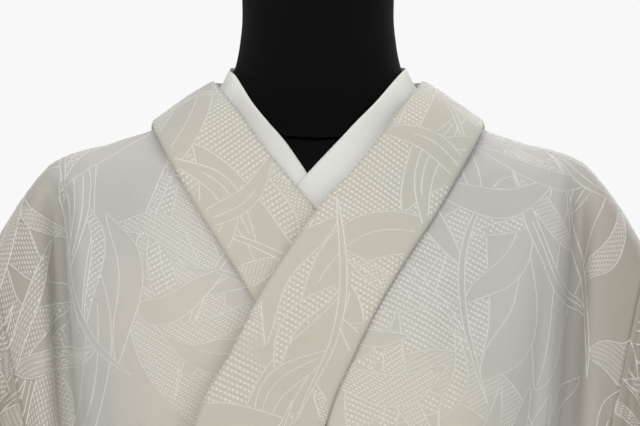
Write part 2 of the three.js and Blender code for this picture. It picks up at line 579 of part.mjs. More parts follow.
// A sleeve: a folded bag that hangs from the shoulder, sewn along its foot, open at the wrist and
// down its inner side below the seam.
const sleeveInner = through(SLEEVE, 'z', 'inner');
const sleeveOuter = through(SLEEVE, 'z', 'outer');
const sleeveDepth = through(SLEEVE, 'z', 'depth');
const sleeveSwing = through(SLEEVE, 'z', 'swing');
const sleeveDroop = through(SLEEVE, 'z', 'droop');
function sleeve() {
  const middle = SLEEVE_CELLS / 2;
  const ways = Array.from({ length: SLEEVE_CELLS + 1 }, (_, q) => {
    const far = Math.abs(q - middle);
    return Math.sign(q - middle) * (far === 0 ? 0 : mix(OUTER_CELL, 1, (far - 1) / (middle - 1)));
  });
  const place = (inner, outer, depth, z) => ways.map((way) => {
    const share = 1 - Math.abs(way);
    const fade = smooth(6 * share) * smooth(2.2 * (1 - share));
    const wave = sleeveSwing(z) * Math.sin(2 * Math.PI * SLEEVE_FOLDS * share) * fade;
    return new THREE.Vector3(
      mix(inner, outer, share),
      Math.sign(way) * depth * Math.abs(way) ** 0.36 + wave,
      z - sleeveDroop(z) * share ** 1.3,
    );
  });
  const seamRows = SLEEVE_SEAM_ROWS.map((row) => {
    const edge = bodicePoint('left', 'front', row, COLUMNS);
    return place(edge.x + SLEEVE_SEAM_GAP, sleeveOuter(edge.z), -edge.y, edge.z);
  });
  const freeRows = SLEEVE_FREE_ROWS.map((z) => place(sleeveInner(z), sleeveOuter(z), sleeveDepth(z), z));
  const rows = [...seamRows, ...freeRows];
  const wide = SLEEVE_CELLS + 1;
  const sheet = grid(rows);
  const inCuff = (f) => {
    const [column, row] = [f[0] % wide, Math.floor(f[0] / wide)];
    const [upper, lower] = [rows[row][middle].z, rows[row + 1][middle].z];
    return Math.abs(column + 0.5 - middle) < CUFF_CELLS / 2 && upper < CUFF_TOP && lower > CUFF_BOTTOM;
  };
  const faces = sheet.faces.filter((f) => !inCuff(f));
  const apex = sheet.points.length;
  const top = new THREE.Vector3(armEdge(0) + SLEEVE_SEAM_GAP / 2, 0, shoulder(armEdge(0)) - SLEEVE_SEAM_GAP);
  for (let q = 0; q < SLEEVE_CELLS; q++) faces.push([apex, q + 1, q]);
  const foot = (rows.length - 1) * wide;
  for (let q = 0; q < middle; q++) {
    const quad = [foot + q, foot + q + 1, foot + SLEEVE_CELLS - q - 1, foot + SLEEVE_CELLS - q];
    faces.push(q === middle - 1 ? [quad[0], quad[1], quad[3]] : quad);
  }
  return { points: [...sheet.points, top], faces };
}

// The waist tie, and the end that crosses over it in front and is tucked in.
const TIE_OUT = { front: 29.4, back: 20.8 };
const TIE_SIDES = 40;
const tieOut = (angle) => mix(TIE_OUT.back, TIE_OUT.front, smooth((160 - angle) / 80));
function tieRing(z, extra, from, to, steps) {
  return Array.from({ length: steps + 1 }, (_, i) => {
    const angle = mix(from, to, i / steps);
    const turned = Math.abs(angle > 180 ? 360 - angle : angle);
    const p = onSkirt(turned, z, tieOut(turned) + extra);
    return angle > 180 || angle < 0 ? p.setX(-p.x) : p;
  });
}
function waistTie() {
  const heights = [TIE_TOP, mix(TIE_TOP, TIE_BOTTOM, 0.5), TIE_BOTTOM];
  const rows = heights.map((z, i) => tieRing(z, i === 1 ? 0.6 : 0, 0, 360, TIE_SIDES).slice(0, TIE_SIDES));
  const points = rows.flat();
  const faces = [];
  for (let i = 0; i + 1 < rows.length; i++) {
    for (let j = 0; j < TIE_SIDES; j++) {
      const k = (j + 1) % TIE_SIDES;
      faces.push([i * TIE_SIDES + j, i * TIE_SIDES + k, (i + 1) * TIE_SIDES + k, (i + 1) * TIE_SIDES + j]);
    }
  }
  return { points, faces };
}
const TIE_END = { from: 8, to: 62, rise: 7, top: 1025, bottom: 992, out: 3.4 };
function tieEnd() {
  const steps = 8;
  return grid([TIE_END.top, (TIE_END.top + TIE_END.bottom) / 2, TIE_END.bottom].map((z) => (
    tieRing(z, TIE_END.out, TIE_END.from, TIE_END.to, steps)
      .map((p, i) => p.setZ(p.z + TIE_END.rise * (i / steps - 0.5))))));
}

function ovalRing(half, front, back, z, round) {
  return Array.from({ length: FORM_SIDES }, (_, i) => {
    const a = (i / FORM_SIDES) * 2 * Math.PI;
    const [s, c] = [Math.sin(a), Math.cos(a)];
    const power = (v) => Math.sign(v) * Math.abs(v) ** (2 / round);
    return new THREE.Vector3(half * power(s), (c > 0 ? -front : -back) * power(c), z);
  });
}
function dressForm() {
  return loft(FORM.map((r) => ovalRing(r.half, r.front, r.back, r.z, r.round)));
}
function neckCap() {
  const { half, front, back, z, round } = FORM[FORM.length - 1];
  const ring = (inset, height) => ovalRing(half - inset, front - inset, back - inset, z + SEAM + height, round);
  return loft([
    ring(CAP.inset, 0), ring(CAP.inset, CAP.height - CAP.bevel), ring(CAP.inset + CAP.bevel, CAP.height),
  ]);
}

const turned = (profile) => new THREE.LatheGeometry(profile.map(([r, z]) => new THREE.Vector2(r, z)), 36)
  .rotateX(Math.PI / 2);
function baseDisc() {
  const { radius, height, bevel } = BASE;
  return turned([[0, 0], [radius, 0], [radius, height - bevel], [radius - bevel, height], [0, height]]);
}
function socket() {
  const { radius, bottom, top } = SOCKET;
  return turned([[0, bottom], [radius, bottom], [radius - 3, top - 3], [radius - 6, top], [0, top]]);
}
function pole() {
  const { radius, top, bottom } = POLE;
  return turned([[0, bottom], [radius, bottom], [radius, top], [0, top]]);
}

const MATERIALS = {
  body_cloth: new THREE.MeshStandardMaterial({ color: 0xc6c3bd, roughness: 0.72, side: THREE.DoubleSide }),
  collar_cloth: new THREE.MeshStandardMaterial({ color: 0xcdc8bc, roughness: 0.72, side: THREE.DoubleSide }),
  white_cloth: new THREE.MeshStandardMaterial({ color: 0xe9e8e3, roughness: 0.8, side: THREE.DoubleSide }),
  tie_cloth: new THREE.MeshStandardMaterial({ color: 0xd9d5ca, roughness: 0.8, side: THREE.DoubleSide }),
  form_cover: new THREE.MeshStandardMaterial({ color: 0x0d0d10, roughness: 0.85 }),
  stand_metal: new THREE.MeshStandardMaterial({ color: 0x1a1a1c, roughness: 0.45, metalness: 0.6 }),
};

const kimono = new THREE.Group();
function add(name, shape, material) {
  const mesh = new THREE.Mesh(shape, MATERIALS[material]);
  mesh.name = name;
  kimono.add(mesh);
}

add('body_left', wall(bodyPanel('left'), CLOTH), 'body_cloth');
add('body_right', wall(bodyPanel('right'), CLOTH), 'body_cloth');
add('okumi_left', wall(okumi('left'), CLOTH), 'body_cloth');
add('okumi_right', wall(okumi('right'), CLOTH), 'body_cloth');
const leftSleeve = sleeve();
add('sleeve_left', wall(leftSleeve, CLOTH), 'body_cloth');
add('sleeve_right', wall(mirrored(leftSleeve), CLOTH), 'body_cloth');
const collar = collarBand();
add('collar', wall(collar.sheet, COLLAR_THICK), 'collar_cloth');
add('over_collar', wall(overCollar(collar), OVER_COLLAR_THICK), 'collar_cloth');
add('inner_collar', wall(whiteCollar(), WHITE_THICK), 'white_cloth');
add('waist_tie', wall(waistTie(), TIE_THICK), 'tie_cloth');
add('waist_tie_end', wall(tieEnd(), TIE_THICK), 'tie_cloth');
add('dress_form', dressForm(), 'form_cover');
add('neck_cap', neckCap(), 'stand_metal');
add('pole', pole(), 'stand_metal');
add('pole_socket', socket(), 'stand_metal');
add('base', baseDisc(), 'stand_metal');

export default kimono;
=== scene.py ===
"""A woven cotton kimono, wrapped and tied on a black dress form. Sizes are in millimetres until a mesh is made."""
import math

import bpy
import numpy as np
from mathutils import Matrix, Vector


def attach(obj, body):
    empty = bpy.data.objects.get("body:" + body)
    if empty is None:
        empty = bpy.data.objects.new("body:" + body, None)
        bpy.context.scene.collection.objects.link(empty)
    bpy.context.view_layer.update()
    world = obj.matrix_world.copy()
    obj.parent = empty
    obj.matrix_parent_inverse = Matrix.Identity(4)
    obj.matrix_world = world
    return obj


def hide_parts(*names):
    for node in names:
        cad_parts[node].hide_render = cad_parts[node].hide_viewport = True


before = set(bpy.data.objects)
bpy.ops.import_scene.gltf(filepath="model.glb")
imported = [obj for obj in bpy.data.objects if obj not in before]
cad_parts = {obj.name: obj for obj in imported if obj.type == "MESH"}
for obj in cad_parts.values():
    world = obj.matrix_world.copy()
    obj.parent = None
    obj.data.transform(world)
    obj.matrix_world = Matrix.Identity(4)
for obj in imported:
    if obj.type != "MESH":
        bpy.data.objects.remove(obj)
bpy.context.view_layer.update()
MM = 0.001
UV_SCALE = 100.0  # millimetres of cloth in one unit of the uv map

# Sizes, as in the CAD source
TIE_TOP, TIE_BOTTOM, UPPER_END = 1030, 985, 1040
TUCK_BOTTOM, TUCK_TOP, HEM, HEM_CORNER_LIFT, OKUMI_TIP = 910, 985, 70, 32, 1146
CUFF_TOP, CUFF_BOTTOM = 952, 735
SEAM, SEAM_LAP, COLLAR_STRIP, COLLAR_OUT, COLLAR_CROWN, RIDGE_OUT = 0.4, 8, 14, 3.2, 0.6, 1.3
COLLAR_END = {"left": 6, "right": 2}  # rows below the bodice that the collar reaches
LEFT_LIFT = 9.2
FOLD_LAYERS = {
    "outer": {"right": 14, "left": 21.5, "back": 17.5},
    "inner": {"right": 10.5, "left": 7, "back": 9},
    "skirt": {"right": 0, "left": 3.5, "back": 2},
}
TURN_DEPTH = {"outerTurn": {"right": 2, "left": 6, "back": 3}, "innerTurn": {"right": 6, "left": 2, "back": 3}}
ROUND, SHOULDER_ROUND, ARM_ROUND = 2.5, 42, 30
NECKLINE_ROW, NECKLINE_HALF, OKUMI_SEAM, FREE_EDGE, TUCK_SWELL = 0.14, 116, 12, 56, 4

SHOULDER = [  # x, z
    (0, 1398), (60, 1398), (77, 1395), (100, 1379), (123, 1364.5), (140, 1359), (162, 1352), (181, 1347.5),
    (192, 1343.5), (203, 1337.5), (211, 1330), (218, 1320.5), (231, 1301.5), (243, 1282), (250, 1270),
]
BODICE = [  # z, front, back
    (1030, 98, 98), (1040, 100, 99), (1090, 110, 104), (1150, 116, 107), (1200, 113, 109), (1250, 101, 109),
    (1290, 86, 106), (1330, 70, 101), (1350, 62, 97), (1370, 56, 90), (1402, 50, 80),
]
ARMHOLE = [  # row, fold, edge, depth
    (0, 203, 250, 38), (0.14, 195, 243, 38), (0.28, 192, 237, 38), (0.46, 188, 229, 38), (0.66, 183, 219, 37),
    (0.86, 169, 207, 34), (0.91, 162, 197, 29), (0.96, 152, 178, 21), (1, 143, 160, 13),
]
SKIRT = [  # z, half, front, back
    (70, 140, 104, 108), (220, 146, 108, 112), (400, 152, 110, 116), (580, 157, 111, 120), (740, 161, 111, 122),
    (860, 163, 110, 121), (930, 150, 100, 108), (985, 131, 86, 90), (1008, 128, 84, 86), (1040, 130, 88, 87),
]
COLLAR_LINE = [  # z, outer, inner
    (900, -66, -144), (985, -45, -127), (1020, -35, -122), (1065, -21, -111), (1145, 3, -88), (1162, 8, -82),
    (1198, 24.5, -62), (1230, 41, -45.5), (1276, 69, -16.5), (1291, 79, -6), (1314, 93, 11), (1340, 108, 33.5),
    (1364, 121, 52), (1382, 128, 66.5), (1395, 132, 77),
]
COLLAR_BACK = [  # turn, x, y, z
    (4, 77.3, 8, 1397.5), (12, 77, 20, 1398.5), (32, 72, 42, 1399), (52, 59, 63, 1399), (71, 34, 80, 1398),
    (90, 0, 87, 1398),
]
COLLAR_LAP_ROW = 0.022
WHITE_LINE = [  # z, x, under
    (1262, -66, 26), (1300, -33, 19), (1329, -7.6, 15.2), (1339, 1.5, 12.5), (1355, 15.5, 9.5), (1374, 32, 9),
    (1394, 51, 4.5), (1405, 60, 3),
]
WHITE_BACK = [  # edge, knee, root
    ((61, -26, 1405), (69, -28, 1392), (84, -30, 1375)), ((65, -13, 1409), (72, -14, 1395), (91, -15, 1378)),
    ((66.5, 3, 1411), (74, 3, 1396), (93, 3, 1380)), ((66, 26, 1412), (72, 26, 1397), (88, 30, 1378)),
    ((56, 50, 1413), (61, 50, 1398), (71, 58, 1374)), ((33, 69, 1413), (35, 71, 1398), (40, 80, 1371)),
    ((0, 77, 1413), (0, 79, 1398), (0, 87, 1370)),
]
WHITE_WIDTH, WHITE_OUT = 34, {"left": 4.4, "right": 1.9}
WHITE_ROWS = [1384, 1370, 1355, 1340, 1326, 1306, 1286, 1268]
SLEEVE = [  # z, inner, outer, depth, swing, droop
    (762, 187, 346, 24, 15, 70), (800, 189, 357, 27, 17, 58), (860, 193, 366, 30, 18, 40),
    (920, 197, 368, 31, 18, 22), (985, 201, 362, 32, 17, 6), (1060, 207, 346, 34, 14, 0),
    (1130, 219, 323, 36, 9, 0), (1190, 230, 298, 38, 4, 0), (1240, 245, 268, 36, 0, 0),
    (1268, 250, 250.5, 0, 0, 0),
]
SLEEVE_SEAM_GAP = 0.8
SLEEVE_SEAM_ROWS = [0.0291, 0.0742, 0.14, 0.28, 0.46, 0.66, 0.76, 0.86]
SLEEVE_FREE_ROWS = [1042, 1000, 957, 910, 862, 816, 784, 762]
SLEEVE_CELLS, SLEEVE_FOLDS, OUTER_CELL = 34, 3, 0.02
FORM = [  # z, half, front, back, round
    (760, 138, 86, 98, 2.3), (775, 150, 97, 110, 2.3), (860, 154, 101, 113, 2.3), (925, 142, 92, 100, 2.3),
    (985, 120, 76, 80, 2.3), (1015, 117, 74, 77, 2.3), (1060, 124, 86, 82, 2.3), (1110, 138, 99, 88, 2.3),
    (1155, 150, 106, 93, 2.3), (1200, 162, 102, 97, 2.3), (1250, 178, 90, 97, 2.3), (1290, 190, 75, 92, 2.2),
    (1315, 193, 65, 84, 2), (1332, 191, 57, 76, 1.8), (1342.5, 184, 52, 70, 1.7), (1350.4, 162, 49, 66, 1.65),
    (1357.4, 140, 47.5, 63, 1.65), (1362.5, 123, 46.5, 61, 1.7), (1368.5, 106, 46, 60, 1.8),
    (1377, 91, 46, 59, 1.9), (1387, 78, 47, 58, 2), (1400, 67.5, 48, 56, 2.1), (1411, 63, 49, 54, 2.1),
    (1428, 59.5, 50.5, 52, 2.1), (1450, 57.5, 52, 50, 2.1), (1475, 58, 54, 48, 2.1), (1490, 58.5, 55, 47, 2.1),
]
NECKLINE_TURNS = [12, 32, 52, 71, 90]
BODICE_ROWS = [0, 0.01] + [NECKLINE_ROW * math.sin(math.radians(a)) for a in NECKLINE_TURNS] + [
    0.2, 0.28, 0.37, 0.46, 0.56, 0.66, 0.76, 0.86, 0.92, 0.97]
CHEST_COLUMNS, ARM_COLUMNS = 7, 3
COLUMNS = CHEST_COLUMNS + ARM_COLUMNS
TURN_STEPS = [1 / 6, 1 / 2, 5 / 6]
OUTER_ROWS = [TIE_TOP, 1008, TIE_BOTTOM, 960, 932, TUCK_BOTTOM]
INNER_ROWS = [TUCK_BOTTOM, 947, TUCK_TOP]
SKIRT_ROWS = [TUCK_TOP, 930, 860, 730, 520, 290, HEM]
TIE_OUT = {"front": 29.4, "back": 20.8}
ARM_SHARES = [0, 0.35, 0.68, 1]
ARM_DEPTHS = {"front": [0.7, 0.94, 1.02, 0.95], "back": [0.84, 0.98, 1.02, 0.95]}
OKUMI_TOP_ROWS = [0, 0.2, 0.45, 0.72, 0.95]
BAND_SHARES = [0, 0.35, 0.7, 1]

# Sizes of what the scene adds
CLOTH_THICKNESS, SASH_THICKNESS = 0.9, 2.2
THREAD_WIDTH, THREAD_RISE, THREAD_SUNK, THREAD_LIFT, LONGEST_STITCH = 1.05, 0.28, 0.12, 0.05, 16
PANEL_GRID, OKUMI_GRID = (6.0, 4.5), (5.0, 4.5)  # steps along and across
COLLAR_GRID, OVER_GRID, WHITE_GRID, SLEEVE_STEP = (5.0, 3.6), (4.5, 3.2), (4.0, 3.0), 5.5
BODICE_FOOT, BELOW_TIE, SEAM_DIP_WIDTH = 1036, 1000, 2.4
OVER_COLLAR_ROWS, OVER_COLLAR_LIFT = 21, 2.1  # rows each side of the nape
PATTERN_AT = {"left": (18, 40), "right": (150, 300)}  # where each panel starts in the cloth's repeat
OKUMI_PATTERN_AT = {"left": (95, 210), "right": (40, 20)}


def clamp(v):
    return min(1, max(0, v))


def mix(a, b, t):
    return a + (b - a) * t


def smooth(t):
    c = np.clip(t, 0, 1)
    return c * c * (3 - 2 * c)


def quarter(t):
    return math.sqrt(1 - (1 - clamp(t)) ** 2)


def slopes(x, y):
    """Slopes of a smooth curve that never swings past its points, for one or more columns of y."""
    sec = (y[1:] - y[:-1]) / (x[1:] - x[:-1]).reshape((-1,) + (1,) * (y.ndim - 1))
    s = np.empty_like(y)
    s[0], s[-1] = sec[0], sec[-1]
    a, b = sec[:-1], sec[1:]
    same = a * b > 0
    s[1:-1] = np.where(same, 2 * a * b / np.where(same, a + b, 1), 0)
    return s


def curve(x, y, q):
    x, y, q = np.asarray(x, float), np.asarray(y, float), np.asarray(q, float)
    s = slopes(x, y)
    q = np.clip(q, x[0], x[-1])
    i = np.clip(np.searchsorted(x, q, side="right") - 1, 0, len(x) - 2)
    shape = q.shape + (1,) * (y.ndim - 1)
    h = (x[i + 1] - x[i]).reshape(shape)
    t = (q - x[i]).reshape(shape) / h
    t2, t3 = t * t, t * t * t
    return (y[i] * (2 * t3 - 3 * t2 + 1) + h * s[i] * (t3 - 2 * t2 + t)
            + y[i + 1] * (3 * t2 - 2 * t3) + h * s[i + 1] * (t3 - t2))


def through(rows, column):
    """A smooth function of a table's first column that goes through the values of another."""
    x, y = [r[0] for r in rows], [r[column] for r in rows]
    return lambda q: float(curve(x, y, q)) if np.ndim(q) == 0 else curve(x, y, q)


def columns(rows):
    return (through(rows, k) for k in range(1, len(rows[0])))


def unit(v):
    return v / np.maximum(np.linalg.norm(v, axis=-1, keepdims=True), 1e-9)


shoulder = through(SHOULDER, 1)
bodice_depth = dict(zip(("front", "back"), columns(BODICE)))
fold_x, arm_edge, arm_depth = columns(ARMHOLE)
skirt_half = through(SKIRT, 1)
skirt_depth = {"front": through(SKIRT, 2), "back": through(SKIRT, 3)}
collar_outer, collar_inner = columns(COLLAR_LINE)
white_edge, white_under = columns(WHITE_LINE)
form_half, form_front, form_back, form_round = columns(FORM)
sleeve_inner, sleeve_outer, sleeve_depth, sleeve_swing, sleeve_droop = columns(SLEEVE)


def bodice_height(x, row):
    return mix(shoulder(abs(x)), UPPER_END, row)


def sign(side):
    return -1 if side == "front" else 1


def chest_depth(x, z, side):
    top = shoulder(abs(x))
    row = clamp((top - z) / (top - UPPER_END))
    across = clamp(1 - (abs(x) / fold_x(row)) ** ROUND) ** (1 / ROUND)
    return bodice_depth[side](z) * across * quarter((top - z) / SHOULDER_ROUND)


def on_bodice(x, z, side, out):
    low = min(z, shoulder(abs(x)) - 1.5)
    sx = (chest_depth(x + 1, low, side) - chest_depth(x - 1, low, side)) / 2
    sz = (chest_depth(x, low + 1, side) - chest_depth(x, low - 1, side)) / 2
    return np.array([x, sign(side) * chest_depth(x, z, side), z]) + unit(np.array([-sx, sign(side), -sz])) * out


def on_skirt(angle, z, out):
    side = "front" if angle <= 90 else "back"
    t = math.radians(angle)
    x = (skirt_half(z) + out) * abs(math.sin(t)) ** (2 / ROUND)
    y = (skirt_depth[side](z) + out) * abs(math.cos(t)) ** (2 / ROUND)
    return np.array([x, sign(side) * y, z])


def skirt_angle(x, z, out):
    return math.copysign(math.degrees(math.asin(clamp(abs(x) / (skirt_half(z) + out)) ** (ROUND / 2))), x)


def front_lift(body, x, z):
    return 0 if body == "right" else LEFT_LIFT * float(smooth((-collar_inner(z) + 68 - x) / 60))


def layer_out(layers, body, angle):
    return mix(layers["back"], layers[body], float(smooth((150 - angle) / 85)))


def crossing(row, line):
    x = 60.0
    for _ in range(40):
        x = mix(x, line(bodice_height(x, row)), 0.6)
    return x


def okumi_seam(z):
    return mix(OKUMI_SEAM, 5, float(smooth((z - TIE_TOP) / (OKUMI_TIP - TIE_TOP))))


def front_edge(row):
    return crossing(row, lambda z: max(collar_outer(z) - SEAM_LAP, okumi_seam(z) + SEAM / 2))


def back_edge(row):
    return max(SEAM / 2, NECKLINE_HALF * math.sqrt(max(0, 1 - (row / NECKLINE_ROW) ** 2)))


def bodice_point(body, side, row, column):
    inner = front_edge(row) if side == "front" and row > 0 else back_edge(row)
    fold = fold_x(row)
    arm = max(0, column - CHEST_COLUMNS)
    strip = COLLAR_STRIP / (fold - inner)
    even = clamp((column - 1) / (CHEST_COLUMNS - 1))
    share = 0 if column == 0 else mix(strip, 1, mix(even, math.sin(math.pi / 2 * even), 0.65))
    x = mix(fold, arm_edge(row), ARM_SHARES[arm]) if arm else mix(inner, fold, share)
    z = bodice_height(x, row)
    lift = front_lift(body, x, z) if side == "front" else 0
    out = arm_depth(row) * ARM_DEPTHS[side][arm] * quarter((shoulder(x) - z) / ARM_ROUND)
    if arm == 0 and chest_depth(x, z, side) > out:
        return on_bodice(x, z, side, lift)
    return np.array([x, sign(side) * max(out, SEAM / 2), z])


LOWER_ROWS = (
    [("layer", z, "outer") for z in OUTER_ROWS]
    + [("turn", TUCK_BOTTOM, t, "outer", "inner", "outerTurn", 1) for t in TURN_STEPS]
    + [("layer", z, "inner") for z in INNER_ROWS]
    + [("turn", TUCK_TOP, t, "inner", "skirt", "innerTurn", -1) for t in TURN_STEPS]
    + [("layer", z, "skirt") for z in SKIRT_ROWS]
)


def lower_place(row, body, angle):
    a = abs(angle)
    if row[0] == "layer":
        swell = TUCK_SWELL * float(smooth((TIE_BOTTOM - row[1]) / 30)) if row[2] == "outer" else 0
        return row[1], layer_out(FOLD_LAYERS[row[2]], body, a) + swell
    _, z, t, start, end, dip, down = row
    depth = layer_out(TURN_DEPTH[dip], body, a) * math.sin(math.pi * t)
    swell = TUCK_SWELL * (1 - t) if start == "outer" else 0
    share = (1 - math.cos(math.pi * t)) / 2
    out, into = (layer_out(FOLD_LAYERS[layer], body, a) for layer in (start, end))
    return z - down * depth, mix(out, into, share) + swell


def lower_point(body, row, angle, lift=0):
    z, out = lower_place(row, body, angle)
    rise = HEM_CORNER_LIFT * lift * float(smooth((TUCK_TOP - z) / (TUCK_TOP - HEM)))
    p = on_skirt(abs(angle), z + rise, out)
    if angle < 0:
        p[0] = -p[0]
    return p


def mirror_x(P):
    return P * np.array([-1, 1, 1])


def body_rows(body):
    halves = {}
    for side in ("front", "back"):
        rows = [[bodice_point(body, side, row, c) for c in range(COLUMNS + 1)] for row in BODICE_ROWS]
        for row in LOWER_ROWS:
            z, out = lower_place(row, body, 0)
            seam = skirt_angle(OKUMI_SEAM + SEAM / 2, z, out) if side == "front" else 180
            line = []
            for c in range(COLUMNS + 1):
                p = lower_point(body, row, mix(seam, 90, c / COLUMNS))
                if c == COLUMNS:
                    p[1] = sign(side) * SEAM / 2
                if c == 0 and side == "back":
                    p[0] = SEAM / 2
                line.append(p)
            rows.append(line)
        halves[side] = np.array(rows)
    return np.concatenate([halves["front"][::-1], halves["back"][1:]])


def free_share(row):
    if row[0] == "turn":
        return 0 if row[5] == "outerTurn" else 1
    if row[2] == "outer":
        return 0
    return 1 if row[2] == "skirt" else clamp((row[1] - TUCK_BOTTOM) / (TUCK_TOP - TUCK_BOTTOM))


def okumi_rows(body):
    shares = [c / 6 for c in range(7)]
    rows = []
    for t in OKUMI_TOP_ROWS:
        z = mix(OKUMI_TIP - 10, TIE_TOP, t)
        seam = okumi_seam(z) - SEAM / 2
        edge = min(collar_outer(z) - SEAM_LAP, seam - 4)
        line = [mix(seam, edge, s) for s in shares]
        rows.append([on_bodice(x, z, "front", front_lift(body, x, z)) for x in line])
    for row in LOWER_ROWS:
        z, out = lower_place(row, body, 0)
        seam = skirt_angle(OKUMI_SEAM - SEAM / 2, z, out)
        top = skirt_angle(collar_outer(z) - 3 * SEAM_LAP, z, out)
        edge = mix(top, -FREE_EDGE, free_share(row))
        corner = 1 if body == "left" else 0
        rows.append([lower_point(body, row, mix(seam, edge, s), corner * s * s) for s in shares])
    return np.array(rows)


def crown(share):
    return COLLAR_CROWN * math.sin(math.pi * share)


def collar_half(body):
    back = []
    for turn, x, y, z in COLLAR_BACK:
        t = math.radians(turn)
        row = (NECKLINE_ROW + COLLAR_LAP_ROW) * math.sin(t)
        seam_x = (NECKLINE_HALF + SEAM_LAP) * math.cos(t)
        outer = on_bodice(seam_x, bodice_height(seam_x, row), "back", COLLAR_OUT + RIDGE_OUT * (1.3 + math.sin(t)))
        inner = np.array([x, y, z], float)
        normal = unit(np.cross([-math.cos(t) * y - math.sin(t) * 20, x, 0], inner - outer))
        normal *= -1 if normal[2] < 0 else 1
        back.append([mix(outer, inner, s) + normal * crown(s) for s in BAND_SHARES])
    front = []
    for row in BODICE_ROWS:
        inner_row = row - 0.1 * float(smooth(row / 0.3))
        xo, xi = crossing(row, collar_outer), crossing(inner_row, collar_inner)
        zo, zi = bodice_height(xo, row), bodice_height(xi, inner_row)
        out = COLLAR_OUT + RIDGE_OUT * float(smooth(1 - row / 0.3))
        line = []
        for s in BAND_SHARES:
            x, z = mix(xo, xi, s), mix(zo, zi, s)
            line.append(on_bodice(x, z, "front", front_lift(body, x, z) + out + crown(s)))
        front.append(line)
    lower = []
    for row in LOWER_ROWS[:COLLAR_END[body]]:
        z, layer = lower_place(row, body, 0)
        line = []
        for s in BAND_SHARES:
            x = mix(collar_outer(z), collar_inner(z), s)
            rise = 8 * s * float(smooth((z - TUCK_BOTTOM) / 60))
            p = on_skirt(abs(skirt_angle(x, z, layer)), z + rise, layer + COLLAR_OUT + crown(s))
            p[0] *= math.copysign(1, x)
            line.append(p)
        lower.append(line)
    rows = np.array(back[::-1] + front + lower)
    return rows if body == "left" else mirror_x(rows)


def collar_rows():
    right, left = collar_half("right"), collar_half("left")
    return np.concatenate([right[::-1], left[1:]]), len(right) - 1


def form_depth(x, z):
    r = form_round(z)
    return form_front(z) * clamp(1 - (abs(x) / form_half(z)) ** r) ** (1 / r)


def on_form(x, z, out):
    sx = (form_depth(x + 1, z) - form_depth(x - 1, z)) / 2
    sz = (form_depth(x, z + 1) - form_depth(x, z - 1)) / 2
    return np.array([x, -form_depth(x, z), z]) + unit(np.array([-sx, -1, -sz])) * out


def white_half(body):
    def shift(z):
        return 0 if body == "left" else white_under(z)
    rows = []
    for edge, knee, root in WHITE_BACK:
        e = np.array([edge[0] + (shift(edge[2]) / 2 if edge[1] < 0 else 0), edge[1], edge[2]], float)
        k, r = np.array(knee, float), np.array(root, float)
        rows.append([r, (r + k) / 2, k, e])
    rows = rows[::-1]
    for z in WHITE_ROWS:
        here, ahead = white_edge(z) + shift(z), white_edge(z - 6) + shift(z - 6)
        d = unit(np.array([ahead - here, -6.0]))
        rows.append([on_form(here - d[1] * WHITE_WIDTH * s, z + d[0] * WHITE_WIDTH * s, WHITE_OUT[body])
                     for s in (1, 0.66, 0.33, 0)])
    rows = np.array(rows)
    return rows if body == "left" else mirror_x(rows)


def sleeve_rows():
    """The left sleeve, each row from the seam at the front round the outer fold to the seam at the back."""
    middle = SLEEVE_CELLS // 2
    cell = np.arange(SLEEVE_CELLS + 1) - middle
    way = np.sign(cell) * mix(OUTER_CELL, 1, (np.abs(cell) - 1) / (middle - 1))
    share = 1 - np.abs(way)
    swing = np.sin(2 * math.pi * SLEEVE_FOLDS * share) * smooth(6 * share) * smooth(2.2 * (1 - share))

    def place(inner, outer, depth, z):
        y = np.sign(way) * depth * np.abs(way) ** 0.36 + sleeve_swing(z) * swing
        return np.stack([mix(inner, outer, share), y, z - sleeve_droop(z) * share ** 1.3], 1)
    rows = []
    for row in SLEEVE_SEAM_ROWS:
        x, y, z = bodice_point("left", "front", row, COLUMNS)
        rows.append(place(x + SLEEVE_SEAM_GAP, sleeve_outer(z), -y, z))
    for z in SLEEVE_FREE_ROWS:
        rows.append(place(sleeve_inner(z), sleeve_outer(z), sleeve_depth(z), z))
    apex = np.array([arm_edge(0) + SLEEVE_SEAM_GAP / 2, 0, shoulder(arm_edge(0)) - SLEEVE_SEAM_GAP])
    return np.array(rows), apex


# Fine sheets
def resample(P, axis, gap):
    """P refined along an axis on a smooth curve through its points, at even steps of length."""
    P = np.moveaxis(P, axis, 0)
    gaps = np.linalg.norm(np.diff(P, axis=0), axis=2).mean(1) + 1e-6
    at = np.concatenate([[0], np.cumsum(gaps)])
    q = np.linspace(0, at[-1], math.ceil(at[-1] / gap) + 1)
    return np.moveaxis(curve(at, P, q), 0, axis)


def fine(P, along, across):
    return resample(resample(P, 0, along), 1, across)


def normals(P):
    n = unit(np.cross(np.gradient(P, axis=1), np.gradient(P, axis=0)))
    for _ in range(2):  # a cell of no size takes its neighbours' normal
        n[1:-1] = n[:-2] + 2 * n[1:-1] + n[2:]
        n = unit(n)
    return n


def normals_out(P, row, column):
    """Normals of a sheet, on the side that faces the front at this row and column."""
    N = normals(P)
    return -N if N[row, column, 1] > 0 else N


def arcs(P, from_end, zero_row):
    """Cloth millimetres of every point: U across from the first or last column, V along from a row."""
    across = np.linalg.norm(np.diff(P, axis=1), axis=2)
    U = np.concatenate([np.zeros((len(P), 1)), np.cumsum(across, axis=1)], axis=1)
    if from_end:
        U = U - U[:, -1:]
    along = np.linalg.norm(np.diff(P, axis=0), axis=2)
    V = np.concatenate([np.zeros((1, P.shape[1])), np.cumsum(along, axis=0)], axis=0)
    return U, V - V[zero_row]


# The woven leaves: one repeat of the cloth
TILE = np.array([290.0, 560.0])
TILE_W, TILE_H = TILE
